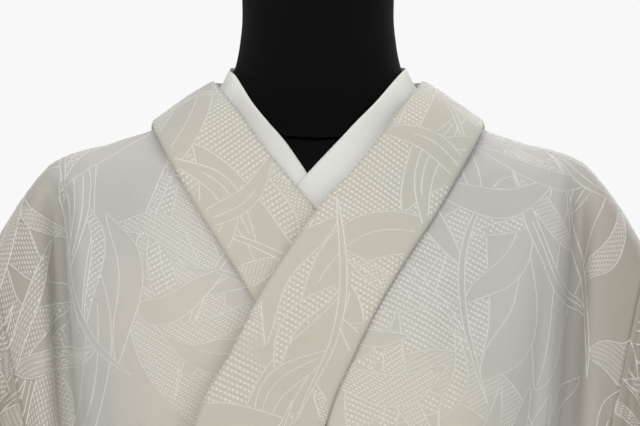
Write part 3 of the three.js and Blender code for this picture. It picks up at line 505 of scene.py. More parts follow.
# Large leaves that lie under the rest: root x, y; heading in degrees; length; width; bend; sway; lean; fill
BLADES = [
    (36, 20, 70, 250, 76, 34, 20, 0.9, "brick"),
    (232, 150, 108, 260, 70, -40, -18, 0.85, "none"),
    (70, 290, 84, 240, 82, -32, -20, 0.95, "rows"),
    (214, 400, 66, 240, 74, 42, 16, 0.85, "none"),
    (150, 60, 24, 200, 36, 60, -18, 0.9, "none"),
    (262, 330, 152, 210, 40, 46, -16, 0.9, "dense"),
]
# Sprays: root x, y; heading; length and bend of the stem; leaves; their length, width and bend; fills in turn
SPRAYS = [
    (18, 64, 66, 180, -50, 7, 124, 22, 26, ("none", "rows", "none", "brick")),
    (150, 24, 104, 170, 56, 7, 136, 25, -22, ("brick", "none", "none")),
    (276, 96, 128, 180, -46, 7, 118, 20, 28, ("none", "brick", "rows", "none")),
    (92, 176, 52, 180, 54, 7, 130, 24, -24, ("rows", "none", "brick")),
    (236, 246, 84, 165, -58, 7, 138, 26, 20, ("none", "none", "brick")),
    (30, 316, 58, 190, 48, 7, 120, 21, -26, ("brick", "none", "rows", "none")),
    (168, 366, 118, 175, -52, 7, 132, 25, 24, ("none", "rows", "none")),
    (282, 436, 100, 180, 44, 7, 116, 21, -22, ("dense", "none", "brick")),
    (98, 484, 70, 150, -50, 5, 126, 23, 26, ("none", "rows", "none", "none")),
]
FILLS = ("brick", "rows", "dense")
FIELD_NAMES = FILLS + ("leaf", "ground")


def blade(x, y, heading, length, width, bend, sway, lean):
    t = np.linspace(0, 1, max(14, int(length / 5)))
    turn = np.radians(heading + bend * t + sway * np.sin(2 * np.pi * t))
    step = length * (t[1] - t[0])
    ways = np.stack([np.cos(turn[:-1]), np.sin(turn[:-1])], 1)
    spine = np.array([x, y]) + np.concatenate([[[0, 0]], np.cumsum(ways, axis=0)]) * step
    side = np.stack([-np.sin(turn), np.cos(turn)], 1)
    half = (width / 2 * np.sin(np.pi * t ** lean) ** 0.92)[:, None]
    left, right = spine + side * half * 1.15, spine - side * half * 0.85
    return np.concatenate([left, right[-2:0:-1]]), spine


def all_leaves():
    leaves = []
    for x, y, heading, length, width, bend, sway, lean, fill in BLADES:
        shape, spine = blade(x, y, heading, length, width, bend, sway, lean)
        leaves.append((shape, fill, spine[1:int(len(spine) * 0.8)] if fill == "none" else None))
    for x, y, heading, length, bend, count, size, width, curl, fills in SPRAYS:
        stem, spine = blade(x, y, heading, length, 5.5, bend, 6, 0.8)
        for k in range(count):
            share = 0.1 + 0.84 * k / (count - 1)
            side = 1 if k % 2 else -1
            root = spine[min(len(spine) - 2, int(share * len(spine)))]
            ahead = heading + bend * share + side * (50 - 22 * share)
            long = size * (1.12 - 0.45 * share + 0.13 * math.sin(2.3 * k + x))
            broad = width * (0.9 - 0.25 * share + 0.17 * math.sin(1.7 * k + y))
            shape, rib = blade(*root, ahead, long, broad, -side * abs(curl), 17 * side, 0.8)
            leaves.append((shape, fills[k % len(fills)], rib[2:int(len(rib) * 0.72)] if k % 3 == 1 else None))
        leaves.append((stem, "none", None))
    return leaves


def inside(points, shape):
    x, y = points.T
    result = np.zeros(len(points), bool)
    for (a, b), (c, d) in zip(shape, np.roll(shape, -1, axis=0)):
        if b != d:
            result ^= ((b > y) != (d > y)) & (x < (c - a) * (y - b) / (d - b) + a)
    return result


def near(points, line, margin=0):
    """Whether each point lies in the box round a line."""
    return ((points > line.min(0) - margin) & (points < line.max(0) + margin)).all(1)


SHIFTS = [TILE * (i, j) for i in (-1, 0, 1) for j in (-1, 0, 1)]


def even(line, gap):
    """A line's points at even steps of length."""
    at = np.concatenate([[0], np.cumsum(np.linalg.norm(np.diff(line, axis=0), axis=1))])
    q = np.linspace(0, at[-1], max(2, int(round(at[-1] / gap)) + 1))
    return np.stack([np.interp(q, at, line[:, 0]), np.interp(q, at, line[:, 1])], 1)


LINE_STEP, THREAD_STEP, SHORTEST_RUN = 1.2, 3.6, 5
FARTHEST, REACH = 30.0, 8  # how far from a line a place may count, and how far is worked out


def visible_lines(leaves):
    """Outlines and ribs with what a later leaf covers cut away, as runs of points."""
    runs = []
    for k, (shape, _, rib) in enumerate(leaves):
        lines = [np.concatenate([shape, shape[:1]])] + ([rib] if rib is not None else [])
        for line in lines:
            line = even(line, LINE_STEP)
            hidden = np.zeros(len(line), bool)
            for other, _, _ in leaves[k + 1:]:
                for shift in SHIFTS:
                    close = near(line - shift, other)
                    if close.any():
                        hidden[close] |= inside((line - shift)[close], other)
            edges = np.flatnonzero(np.diff(np.concatenate([[True], hidden, [True]]).astype(int)))
            for start, end in zip(edges[::2], edges[1::2]):
                if end - start > SHORTEST_RUN:
                    runs.append(even(line[start:end], THREAD_STEP))
    return runs


FIELD = 2.0  # millimetres between the places where the fills are worked out


def fill_fields(leaves, runs):
    """How far each place lies inside a kind of ground, in the order of FIELD_NAMES; below 0 is outside."""
    nx, ny = int(TILE_W / FIELD), int(TILE_H / FIELD)
    gx, gy = np.meshgrid(np.arange(nx) * FIELD, np.arange(ny) * FIELD)
    points = np.stack([gx.ravel(), gy.ravel()], 1)
    kind = np.zeros(len(points), int)
    for shape, fill, _ in leaves:
        for s in (shape + shift for shift in SHIFTS):
            idx = np.flatnonzero(near(points, s))
            kind[idx[inside(points[idx], s)]] = FILLS.index(fill) + 1 if fill in FILLS else -1
    nearest = np.full(len(points), FARTHEST)
    for run in runs:
        for r in (run + shift for shift in SHIFTS):
            idx = np.flatnonzero(near(points, r, REACH))
            if not len(idx):
                continue
            p = points[idx]
            for a, b in zip(r[:-1], r[1:]):
                d = b - a
                t = np.clip(((p - a) @ d) / (d @ d + 1e-9), 0, 1)
                nearest[idx] = np.minimum(nearest[idx], np.hypot(*(p - a - t[:, None] * d).T))
    kinds = [kind == k + 1 for k in range(len(FILLS))] + [kind > 0, kind == 0]
    return [np.where(here, nearest, -nearest).reshape(ny, nx) for here in kinds]


LEAVES = all_leaves()
RUNS = visible_lines(LEAVES)
FIELDS = fill_fields(LEAVES, RUNS)


def bilinear(F, i, j, fi, fj, i1, j1):
    return (F[i, j] * (1 - fj) + F[i, j1] * fj) * (1 - fi) + (F[i1, j] * (1 - fj) + F[i1, j1] * fj) * fi


def sample(field, u, v):
    x, y = np.mod(u, TILE_W) / FIELD, np.mod(v, TILE_H) / FIELD
    ny, nx = field.shape
    i, j = np.floor(y).astype(int), np.floor(x).astype(int)
    return bilinear(field, i % ny, j % nx, y - i, x - j, (i + 1) % ny, (j + 1) % nx)


LOCATE_BATCH, LOCATE_STEPS, LOCATE_SLACK = 3000, 10, 1.2


def locate(U, V, u, v):
    """Rows and columns, with shares, at which a sheet's U and V are u and v, and whether they are on it."""
    m, n = U.shape
    out_i, out_j, good = np.zeros(len(u)), np.zeros(len(u)), np.zeros(len(u), bool)
    for start in range(0, len(u), LOCATE_BATCH):
        s = slice(start, start + LOCATE_BATCH)
        uu, vv = u[s], v[s]
        j = np.full(len(uu), n // 2)
        for _ in range(6):
            i = np.clip((V[:, j] <= vv).sum(0) - 1, 0, m - 2)
            j = np.clip((U[i] <= uu[:, None]).sum(1) - 1, 0, n - 2)
        I, J = i + 0.5, j + 0.5
        for turn in range(LOCATE_STEPS + 1):
            i, j = np.minimum(I.astype(int), m - 2), np.minimum(J.astype(int), n - 2)
            eu, ev = (aim - bilinear(F, i, j, I - i, J - j, i + 1, j + 1) for aim, F in ((uu, U), (vv, V)))
            if turn == LOCATE_STEPS:
                break
            J = np.clip(J + np.clip(eu / np.maximum(U[i, j + 1] - U[i, j], 0.05), -2, 2) * 0.9, 0, n - 1)
            I = np.clip(I + np.clip(ev / np.maximum(V[i + 1, j] - V[i, j], 0.05), -2, 2) * 0.9, 0, m - 1)
        out_i[s], out_j[s] = I, J
        good[s] = (np.abs(eu) < LOCATE_SLACK) & (np.abs(ev) < LOCATE_SLACK)
    return out_i, out_j, good


def lerp_grid(F, i, j):
    a, b = np.minimum(i.astype(int), F.shape[0] - 2), np.minimum(j.astype(int), F.shape[1] - 2)
    return bilinear(F, a, b, (i - a)[:, None], (j - b)[:, None], a + 1, b + 1)


# Creases, placed one by one
def ridge(P, path, width, height, fade=0.3):
    """How far a soft ridge along a path of (x, z) moves each point: most on the path, nothing past its ends."""
    q = P[..., [0, 2]]
    best, where = np.full(q.shape[:2], 1e9), np.zeros(q.shape[:2])
    path = np.array(path, float)
    lengths = np.linalg.norm(np.diff(path, axis=0), axis=1)
    total, run = lengths.sum(), 0.0
    for a, b, l in zip(path[:-1], path[1:], lengths):
        d = (b - a) / l
        t = np.clip((q - a) @ d, 0, l)
        far = np.linalg.norm(q - a - t[..., None] * d, axis=2)
        nearer = far < best
        best = np.where(nearer, far, best)
        where = np.where(nearer, (run + t) / total, where)
        run += l
    ends = smooth(where / fade) * smooth((1 - where) / fade)
    return height * np.exp(-((best / width) ** 2)) * ends


# Paths on the wearer's left, x and z; width; height out (below 0 is a trough)
FRONT_CREASES = {
    "left": [
        ([(200, 1338), (198, 1300), (197, 1250), (193, 1180), (187, 1100), (180, 1060)], 6, -5),
        ([(210, 1328), (209, 1290), (208, 1230), (205, 1150), (196, 1080)], 8, 4),
        ([(150, 1352), (138, 1300), (120, 1240), (92, 1180)], 16, -2.2),
        ([(176, 1346), (166, 1290), (150, 1215), (128, 1130)], 14, 2.4),
        ([(183, 1290), (172, 1200), (160, 1120), (150, 1060)], 9, -2.8),
        ([(120, 1180), (108, 1120), (98, 1060)], 13, 2.2),
        ([(70, 1150), (64, 1100), (58, 1050)], 9, -1.8),
        ([(140, 1110), (128, 1075), (118, 1046)], 7, -2.6),
        ([(88, 1100), (82, 1070), (76, 1045)], 6, 1.8),
        ([(104, 1362), (130, 1352), (168, 1345)], 8, -1.0),
    ],
    "right": [
        ([(206, 1336), (201, 1318), (198, 1302), (197, 1250), (193, 1170), (188, 1095), (180, 1060)], 6, -5.5),
        ([(215, 1320), (211, 1290), (209, 1220), (205, 1140), (196, 1075)], 8, 4.5),
        ([(206, 1328), (190, 1322), (178, 1326)], 5, 2.6),
        ([(168, 1350), (150, 1295), (128, 1230), (104, 1165)], 15, -2.0),
        ([(182, 1300), (170, 1230), (152, 1150), (140, 1090)], 13, 2.6),
        ([(135, 1160), (134, 1138), (132, 1110), (129, 1065)], 4.5, -4.2),
        ([(128, 1160), (124, 1125), (120, 1080)], 8, 2.4),
        ([(110, 1200), (96, 1140), (84, 1080)], 14, -1.8),
        ([(86, 1110), (78, 1075), (72, 1045)], 7, 1.6),
    ],
}
BACK_CREASES = [
    ([(196, 1338), (192, 1280), (188, 1200), (180, 1110)], 7, -8),
    ([(205, 1328), (202, 1260), (197, 1170), (188, 1085)], 8, 4),
    ([(150, 1350), (132, 1290), (108, 1220), (84, 1160)], 16, -2.4),
    ([(172, 1345), (160, 1260), (140, 1170), (122, 1090)], 14, 2.6),
    ([(60, 1340), (52, 1260), (46, 1180)], 18, -1.6),
    ([(118, 1150), (108, 1100), (98, 1052)], 10, -2.8),
    ([(76, 1130), (70, 1085), (64, 1048)], 8, 2.0),
    ([(38, 1120), (35, 1080), (33, 1046)], 7, -2.0),
    ([(150, 1120), (140, 1080), (132, 1048)], 8, 2.0),
]


SKIRT_FOLDS = [  # degrees round from the front, width, height, drift along the skirt
    (-148, 9, 5.0, 6), (-121, 7, -5.5, -4), (-97, 10, 4.5, 5), (-74, 7, -4.5, 3), (-40, 11, 3.0, -7),
    (-17, 8, -3.2, 4), (22, 9, 3.6, 6), (44, 7, -4.4, 5), (66, 9, 4.4, -5), (91, 8, -5.5, 4),
    (113, 11, 5.5, 7), (139, 8, -5.0, -6), (164, 9, 3.6, 4), (-171, 8, -3.6, 3),
]
TUCK_WAVES = [  # the same, with no drift
    (-128, 5, -2.4), (-104, 4, 2.0), (-83, 5, -2.2), (-52, 5, 1.6), (-31, 4, -1.8), (17, 5, 1.5), (38, 4, -2.2),
    (61, 5, 1.8), (84, 4, -2.4), (108, 6, 2.2), (131, 4, -2.2), (152, 5, 1.8), (-150, 5, 1.8), (171, 4, -1.6),
]


def folds_round(P, table):
    angle = np.degrees(np.arctan2(P[..., 0], -P[..., 1]))
    move = 0.0
    for centre, width, height, *drift in table:
        turn = centre + sum(drift) * (1 - P[..., 2] / 900)
        off = (angle - turn + 180) % 360 - 180
        move = move + height * np.exp(-((off / width) ** 2))
    return move


def skirt_folds(P):
    """Long soft folds of the skirt, deeper towards the hem, and the fold's small waves under the tie."""
    z = P[..., 2]
    low = smooth((TUCK_BOTTOM + 20 - z) / 700)
    tuck = smooth((z - 898) / 30) * smooth((1010 - z) / 50)
    return folds_round(P, SKIRT_FOLDS) * low + folds_round(P, TUCK_WAVES) * tuck * 0.8


def gathers(P):
    """Small uneven gathers just above the tie."""
    x, z = P[..., 0], P[..., 2]
    near_tie = np.exp(-(((z - 1042) / 26) ** 2))
    return near_tie * (1.1 * np.sin(x / 7.3 + 0.9) + 0.8 * np.sin(x / 4.1 + 2.2)) * smooth((np.abs(x) - 25) / 30)


def under_collar(P):
    """Near 0 where the collar lies on the front, so that a crease stays clear of it."""
    return smooth((P[..., 0] - collar_outer(P[..., 2]) - 4) / 34)


def arm_fold(P, front):
    """The chest's cloth stands out to a sharp edge at the arm and falls back steeply behind it."""
    P = P.copy()
    x, z = P[..., 0], P[..., 2]
    row = np.clip((shoulder(x) - z) / (shoulder(x) - UPPER_END), 0, 1)
    edge = fold_x(row) - 7
    fade = smooth((shoulder(x) - z - 6) / 40) * smooth((z - 1050) / 70)
    outward = np.where(front, 8.0, 6.0) * np.exp(-(((x - edge + 4) / 8) ** 2))
    inward = -np.where(front, 2.0, 2.4) * np.exp(-(((x - edge - 9) / 6) ** 2))
    P[..., 1] += np.where(front, -1, 1) * (outward + inward) * fade
    return P


def seam_dip(U, depth, both=True):
    """The cloth draws in along its sewn long edges: the first, or both."""
    far = U - U[:, :1]
    if both:
        far = np.minimum(far, U[:, -1:] - U)
    return -depth * np.exp(-((far / SEAM_DIP_WIDTH) ** 2))


# Materials
def feed(n, inputs):
    """Links a node's inputs to sockets, or sets them to values."""
    for key, value in inputs.items():
        if isinstance(value, bpy.types.NodeSocket):
            n.id_data.links.new(value, n.inputs[key])
        else:
            n.inputs[key].default_value = value


def node(tree, kind, inputs=None, **props):
    n = tree.nodes.new(kind)
    for key, value in props.items():
        setattr(n, key, value)
    feed(n, inputs or {})
    return n


def maths(operation, *values):
    tree = next(v.id_data for v in values if isinstance(v, bpy.types.NodeSocket))
    return node(tree, "ShaderNodeMath", dict(enumerate(values)), operation=operation).outputs[0]


def add(a, b):
    return maths("ADD", a, b)


def times(a, b):
    return maths("MULTIPLY", a, b)


def mixed(share, a, b):
    return node(share.id_data, "ShaderNodeMix", {0: share, 6: a, 7: b}, data_type="RGBA").outputs[2]


def noise(vector, scale, detail=2.0, rough=0.5):
    inputs = {"Vector": vector, "Scale": scale, "Detail": detail, "Roughness": rough}
    return node(vector.id_data, "ShaderNodeTexNoise", inputs).outputs["Fac"]


def step(value, low, high):
    return node(value.id_data, "ShaderNodeMapRange", {0: value, 1: low, 2: high, 3: 0.0, 4: 1.0},
                interpolation_type="SMOOTHSTEP").outputs[0]


def new_material(name):
    m = bpy.data.materials.new(name)
    m.use_nodes = True
    tree = m.node_tree
    return m, tree, next(n for n in tree.nodes if n.type == "BSDF_PRINCIPLED")


def surface(bsdf, height, strength, distance, inputs):
    """Gives a material its bump and its other inputs."""
    bump = node(bsdf.id_data, "ShaderNodeBump", {"Strength": strength, "Distance": distance, "Height": height})
    feed(bsdf, {"Normal": bump.outputs[0], **inputs})


def rgb(*levels):
    scaled = [v / 255 for v in levels]
    return (*(v / 12.92 if v <= 0.04045 else ((v + 0.055) / 1.055) ** 2.4 for v in scaled), 1)


def cloth_coords(tree):
    """The cloth's own millimetres, U across and V along."""
    uv = node(tree, "ShaderNodeUVMap", uv_map="cloth").outputs[0]
    parts = node(tree, "ShaderNodeSeparateXYZ", {0: uv}).outputs
    return uv, times(parts[0], UV_SCALE), times(parts[1], UV_SCALE)


def bricks(u, v, wide, tall, dash, thick, slant=0.0):
    """White floats of thread in offset rows: 1 on a float and 0 beside it."""
    row = maths("DIVIDE", add(v, times(u, slant)), tall)
    shift = times(maths("FLOORED_MODULO", maths("FLOOR", row), 2.0), 0.5)
    column = add(maths("DIVIDE", u, wide), shift)
    du, dv = (maths("ABSOLUTE", maths("SUBTRACT", maths("FRACT", way), 0.5)) for way in (column, row))
    return times(step(du, dash / 2 + 0.07, dash / 2 - 0.07), step(dv, thick / 2 + 0.12, thick / 2 - 0.12))


FLOATS = {  # width and height of a float's cell, the share of each that the float fills, slant
    "brick": (4.0, 2.15, 0.66, 0.5), "rows": (3.4, 4.0, 0.72, 0.4), "dense": (2.9, 1.9, 0.6, 0.5, 0.35),
}
ARM_FLOATS = (4.4, 2.3, 0.66, 0.5)
# ARM_SHADE_TONE is painted shade: a darker, warmer ground colour for the arms.
ARM_SHADE_TONE, TWILL_TONE, YARN_TONE = rgb(152, 143, 128), (0.36, 0.35, 0.33, 1), (0.45, 0.44, 0.42, 1)


def woven(name, cool, warm, warm_bias, thread, ground_rows=False):
    """The figured cloth: a pale ground, warmer in patches, with painted shade that makes the arms warmer and
    darker, and white floats in the leaves.
    """
    m, tree, bsdf = new_material(name)
    uv, u, v = cloth_coords(tree)
    place = node(tree, "ShaderNodeTexCoord").outputs["Object"]
    x, y, z = node(tree, "ShaderNodeSeparateXYZ", {0: place}).outputs

    def within(field, low=0.3, high=1.0):
        return step(node(tree, "ShaderNodeAttribute", attribute_name=field).outputs["Fac"], low, high)
    # Painted shade: the arms' ground turns warmer and darker, more on the front (y below 0) than the back. The
    # warm patches also gather on the arms as part of this shade, and low on the body.
    outer = step(maths("ABSOLUTE", x), 0.165, 0.235)
    drift = add(times(outer, 0.09), times(step(z, 1.30, 1.10), 0.05))
    patch = add(noise(place, 3.1, 1.0, 0.4), drift)
    ground = mixed(step(patch, 0.52 - warm_bias, 0.64 - warm_bias), cool, warm)
    arm_shade_strength = maths("MULTIPLY_ADD", step(y, 0.015, -0.03), 0.32, 0.45)
    ground = mixed(times(outer, arm_shade_strength), ground, ARM_SHADE_TONE)
    ground = mixed(times(within("leaf", 0.0, 1.2), 0.22), ground, warm)
    twill = maths("SINE", times(add(u, times(v, 1.25)), 2.4))
    shade = maths("MULTIPLY_ADD", twill, 0.5, 0.5)
    ground = mixed(times(shade, 0.2), ground, TWILL_TONE)
    around = within("ground")
    marks = times(bricks(v, u, *ARM_FLOATS), times(around, step(x, -0.186, -0.196)))
    for kind, spec in FLOATS.items():
        marks = maths("MAXIMUM", marks, times(bricks(u, v, *spec), within(kind)))
    if ground_rows:
        field = times(around, step(noise(uv, 1.1, 0.0), 0.36, 0.40))
        marks = maths("MAXIMUM", marks, times(bricks(u, v, *FLOATS["rows"]), field))
    uneven = step(noise(uv, 90.0, 1.0), 0.3, 0.6)
    marks = times(marks, maths("MULTIPLY_ADD", uneven, 0.35, 0.65))
    height = add(add(marks, times(shade, 0.25)), times(noise(uv, 420.0), 0.3))
    surface(bsdf, height, 0.75, 0.0004, {
        "Base Color": mixed(times(marks, 0.62), ground, thread), "Roughness": 0.62, "Sheen Weight": 0.35,
        "Sheen Roughness": 0.45, "Specular IOR Level": 0.35})
    return m


def thread_material(name, colour):
    m, tree, bsdf = new_material(name)
    _, u, v = cloth_coords(tree)
    twist = maths("SINE", times(add(u, v), 5.2))
    surface(bsdf, twist, 0.5, 0.0003, {
        "Base Color": mixed(maths("MULTIPLY_ADD", twist, 0.06, 0.06), colour, YARN_TONE),
        "Roughness": 0.5, "Sheen Weight": 0.2})
    return m


def plain_cloth(name, colour, dark, scale, rough=0.75, sheen=0.3, strength=0.4):
    m, tree, bsdf = new_material(name)
    uv, u, v = cloth_coords(tree)
    weave = times(maths("SINE", times(u, scale)), maths("SINE", times(v, scale)))
    height = add(times(weave, 0.5), noise(uv, 300.0))
    share = add(maths("MULTIPLY_ADD", weave, 0.10, 0.14), times(noise(uv, 1.3), 0.12))
    surface(bsdf, height, strength, 0.0003, {
        "Base Color": mixed(share, colour, dark), "Roughness": rough, "Sheen Weight": sheen,
        "Specular IOR Level": min(0.4, rough * sheen * 2)})
    return m


def painted_metal(name, colour, rough, metal):
    m, tree, bsdf = new_material(name)
    place = node(tree, "ShaderNodeTexCoord").outputs["Object"]
    wear = noise(place, 14.0, 4.0, 0.6)
    surface(bsdf, noise(place, 900.0), 0.15, 0.0002, {
        "Base Color": mixed(times(wear, 0.35), colour, (0.05, 0.05, 0.05, 1)),
        "Roughness": maths("MULTIPLY_ADD", wear, 0.2, rough - 0.1), "Metallic": metal})
    return m


BODY = woven("kimono_cloth", rgb(184, 182, 177), rgb(196, 190, 176), 0.0, rgb(234, 233, 228))
COLLAR = woven("collar_cloth", rgb(181, 178, 168), rgb(190, 184, 170), 0.10, rgb(232, 231, 225), True)
THREAD = thread_material("white_thread", rgb(212, 212, 205))
WHITE = plain_cloth("inner_collar_cloth", rgb(230, 230, 225), rgb(196, 195, 188), 9.0)
TIE = plain_cloth("tie_cloth", rgb(222, 217, 204), rgb(168, 160, 142), 3.4, strength=0.7)
JERSEY = plain_cloth("form_cover", (0.0022, 0.0022, 0.0026, 1), (0.007, 0.007, 0.008, 1), 6.5, 0.9, 0.03, 0.5)
FORM_SEAM = plain_cloth("form_seam", (0.0006, 0.0006, 0.0006, 1), (0.0012, 0.0012, 0.0012, 1), 6.5, 0.95, 0.0)
PAINT = painted_metal("stand_paint", (0.012, 0.012, 0.013, 1), 0.42, 0.1)
STEEL = painted_metal("pole_steel", (0.30, 0.30, 0.31, 1), 0.34, 0.9)


# Meshes
def make_mesh(name, points, faces, material, U, V, fields=None):
    mesh = bpy.data.meshes.new(name)
    points = np.asarray(points, float).reshape(-1, 3)
    mesh.from_pydata((points * MM).tolist(), [], faces if isinstance(faces, list) else faces.tolist())
    mesh.polygons.foreach_set("use_smooth", np.ones(len(mesh.polygons), bool))
    layer = mesh.uv_layers.new(name="cloth")
    loops = np.empty(len(mesh.loops), np.int32)
    mesh.loops.foreach_get("vertex_index", loops)
    uv = np.stack([np.ravel(U), np.ravel(V)], 1)
    layer.data.foreach_set("uv", (uv[loops] / UV_SCALE).astype(np.float32).ravel())
    for key, values in (fields or {}).items():
        a = mesh.attributes.new(key, "FLOAT", "POINT")
        a.data.foreach_set("value", np.asarray(values, np.float32))
    mesh.materials.append(material)
    mesh.update()
    obj = bpy.data.objects.new(name, mesh)
    bpy.context.scene.collection.objects.link(obj)
    return obj


def quads(m, n):
    a = (np.arange(m - 1)[:, None] * n + np.arange(n - 1)[None]).ravel()
    return np.stack([a, a + 1, a + n + 1, a + n], 1)


def shift_uv(U, V, offset, flip_u):
    return (-U if flip_u else U) + offset[0], V + offset[1]


def leaf_fields(u, v):
    return {key: sample(field, u, v).ravel() for key, field in zip(FIELD_NAMES, FIELDS)}


def outlines(name, P, N, U, V, offset, flip_u, out, mask=None):
    """Raised white outlines: narrow crowned strips that follow the leaves' lines over the cloth."""
    u, v = shift_uv(U, V, offset, flip_u)
    low, high = np.array([u.min(), v.min()]), np.array([u.max(), v.max()])
    (i0, j0), (i1, j1) = (low // TILE - 1).astype(int), (high // TILE + 2).astype(int)
    runs = [run + TILE * (i, j) for i in range(i0, i1) for j in range(j0, j1) for run in RUNS]
    runs = [r for r in runs if (r.max(0) >= low).all() and (r.min(0) <= high).all()]
    owner = np.repeat(np.arange(len(runs)), [len(r) for r in runs])
    u, v = (np.concatenate(runs) - offset).T * [[-1 if flip_u else 1], [1]]
    i, j, good = locate(U, V, u, v)
    if mask is not None:
        good &= mask(j)
    centre, normal = lerp_grid(P, i, j), unit(lerp_grid(N, i, j))
    kept = np.flatnonzero(good)
    verts, faces, places, base = [], [], [], 0
    for k in np.split(kept, np.flatnonzero((np.diff(kept) > 1) | (np.diff(owner[kept]) > 0)) + 1):
        c, n = centre[k], normal[k]
        if len(k) < 2 or np.linalg.norm(np.diff(c, axis=0), axis=1).max() >= LONGEST_STITCH:
            continue
        side = unit(np.cross(n, np.gradient(c, axis=0))) * THREAD_WIDTH / 2
        foot = c + n * (out - THREAD_SUNK)
        verts.append(np.stack([foot - side, c + n * (out + THREAD_RISE), foot + side], 1).reshape(-1, 3))
        places.append(np.repeat(k, 3))
        faces.append(base + quads(len(k), 3))
        base += 3 * len(k)
    at = np.concatenate(places)
    return make_mesh(name, np.concatenate(verts), np.concatenate(faces), THREAD, u[at], v[at])


def solidify(obj):
    mod = obj.modifiers.new("cloth", "SOLIDIFY")
    mod.thickness = CLOTH_THICKNESS * MM
    mod.offset = 0.0
    mod.use_even_offset = False


def ready(obj, slot_name, *nodes):
    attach(obj, "root")
    if nodes:
        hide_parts(*nodes)


def patterned(obj, lines, slot_name, cad_node):
    ready(obj, slot_name, cad_node)
    ready(lines, slot_name)


# The body panels and the overlap panels
def panel(name, body, P, U, V, row, offset):
    """A panel's sheet on its own side, made solid, with its outlines."""
    if body == "right":
        P = mirror_x(P)
    out_sign = -1 if normals(P)[row, P.shape[1] // 2, 1] > 0 else 1
    u, v = shift_uv(U, V, offset, body == "right")
    f = quads(*P.shape[:2])
    obj = make_mesh(name + "_cloth", P, f[:, ::-1] if out_sign > 0 else f, BODY, u, v, leaf_fields(u, v))
    solidify(obj)
    lines = outlines(name + "_cloth_outlines", P, normals(P) * out_sign, U, V, offset, body == "right",
                     CLOTH_THICKNESS / 2 + THREAD_LIFT)
    patterned(obj, lines, "body_cloth", name)
    return obj, lines


def skirt_part(P, body):
    world = P if body == "left" else mirror_x(P)
    return world, skirt_folds(world) * (1 - smooth((P[..., 2] - BELOW_TIE) / 30))


for body in ("left", "right"):
    P = fine(body_rows(body), *PANEL_GRID)
    top = int(np.argmax(P[:, P.shape[1] // 2, 2]))
    U, V = arcs(P, True, top)
    front = np.zeros(P.shape[:2], bool)
    front[:top + 1] = True
    P = arm_fold(P, front)
    N = normals_out(P, top - 30, P.shape[1] // 2)
    free = np.where(front, under_collar(P), 1)
    move = np.zeros(P.shape[:2])
    for path, width, height in FRONT_CREASES[body]:
        move += np.where(front, ridge(P, path, width, height), 0) * free
    for path, width, height in BACK_CREASES:
        move += np.where(front, 0, ridge(P, path, width, height))
    bodice = smooth((P[..., 2] - BODICE_FOOT) / 12)
    world, folds = skirt_part(P, body)
    move = move * bodice + folds + gathers(world) * bodice * free
    edge_of_side = smooth((-U) / 10)
    move *= np.where(P[..., 2] < UPPER_END, 0.25 + 0.75 * edge_of_side, edge_of_side * 0.6 + 0.4)
    P = P + N * (move + seam_dip(U, 0.6))[..., None]
    P[:, -1, 0] += 0.9 * smooth((P[:, -1, 2] - 1085) / 20)
    obj, lines = panel("body_" + body, body, P, U, V, top - 30, PATTERN_AT[body])

for body in ("left", "right"):
    P = fine(okumi_rows(body), *OKUMI_GRID)
    N = normals_out(P, 20, P.shape[1] // 2)
    U, V = arcs(P, False, 0)
    move = skirt_part(P, body)[1] + seam_dip(U, 0.5, False)
    P = P + N * move[..., None]
    obj, lines = panel("okumi_" + body, body, P, U, V, 20, OKUMI_PATTERN_AT[body])


# The collars
def puffed(edge, radius):
    """A rounded edge: 0 on it, and 1 from this radius inwards."""
    return np.sqrt(np.clip(1 - (1 - np.clip(edge / radius, 0, 1)) ** 2, 0, 1))


def shell(name, P, N, up, down, U, V, material, fields=None, ring=False, turn=False):
    """A closed piece between the two faces of a grid; a ring has no ends."""
    m, n = P.shape[:2]
    size, f = m * n, quads(m, n)
    j, e = np.arange(n - 1), (m - 1) * n
    k = e + j
    rim = [np.stack([j, j + size, j + 1 + size, j + 1], 1), np.stack([k, k + 1, k + 1 + size, k + size], 1)]
    if not ring:
        i = np.arange(m - 1) * n
        o = i + n - 1
        rim += [np.stack([i, i + n, i + n + size, i + size], 1), np.stack([o, o + size, o + n + size, o + n], 1)]
    faces = np.concatenate([f, f[:, ::-1] + size] + rim)
    points = [P + N * up[..., None], P - N * down[..., None]]
    return make_mesh(name, points, faces[:, ::-1] if turn else faces, material, [U, U], [V, V],
                     {key: np.tile(values, 2) for key, values in (fields or {}).items()})


def band(name, P, material, thickness, lift, offset=None):
    """A folded band: a slightly puffed section with rounded long edges."""
    mid, n = P.shape[1] // 2, P.shape[1]
    N = normals(P)
    out_sign = 1 if N[int(np.argmin(P[:, mid, 1])), mid, 1] < 0 else -1
    N = N * out_sign
    U, V = arcs(P, False, P.shape[0] // 2)
    V = np.repeat(V[:, mid:mid + 1], n, axis=1)
    puff = puffed(np.minimum(U, U[:, -1:] - U), 3.0)
    up = thickness / 2 * (0.25 + 0.75 * puff) * lift
    u, v = shift_uv(U, V, offset or (0, 0), False)
    obj = shell(name, P, N, up, thickness / 2 * puff, u, v, material, leaf_fields(u, v) if offset else None,
                turn=out_sign > 0)
    if not offset:
        return obj
    top = P + N * up[..., None]
    return obj, outlines(name + "_outlines", top, N, U, V, offset, False, THREAD_LIFT,
                         lambda j: (j > 3.2) & (j < n - 1.6))


def turned_down(P, reach, drop):
    """A sheet whose first long edge turns down to what it lies on."""
    N = normals_out(P, int(np.argmin(P[:, 1, 1])), 1)
    out = P[:, :1] - P[:, 1:2]
    out /= np.linalg.norm(out, axis=2, keepdims=True)
    bend = [(0.9, 1.0), (1.0, 0.62), (0.78, 0.22)]
    return np.concatenate([P[:, :1] + out * reach * a - N[:, :1] * drop * b for a, b in bend] + [P], axis=1)


rows, nape = collar_rows()
P = turned_down(fine(rows, *COLLAR_GRID), 0.5, 2.0)
obj, lines = band("collar_cloth", P, COLLAR, 2.2, 0.9, (60, 130))
patterned(obj, lines, "collar_cloth", "collar")

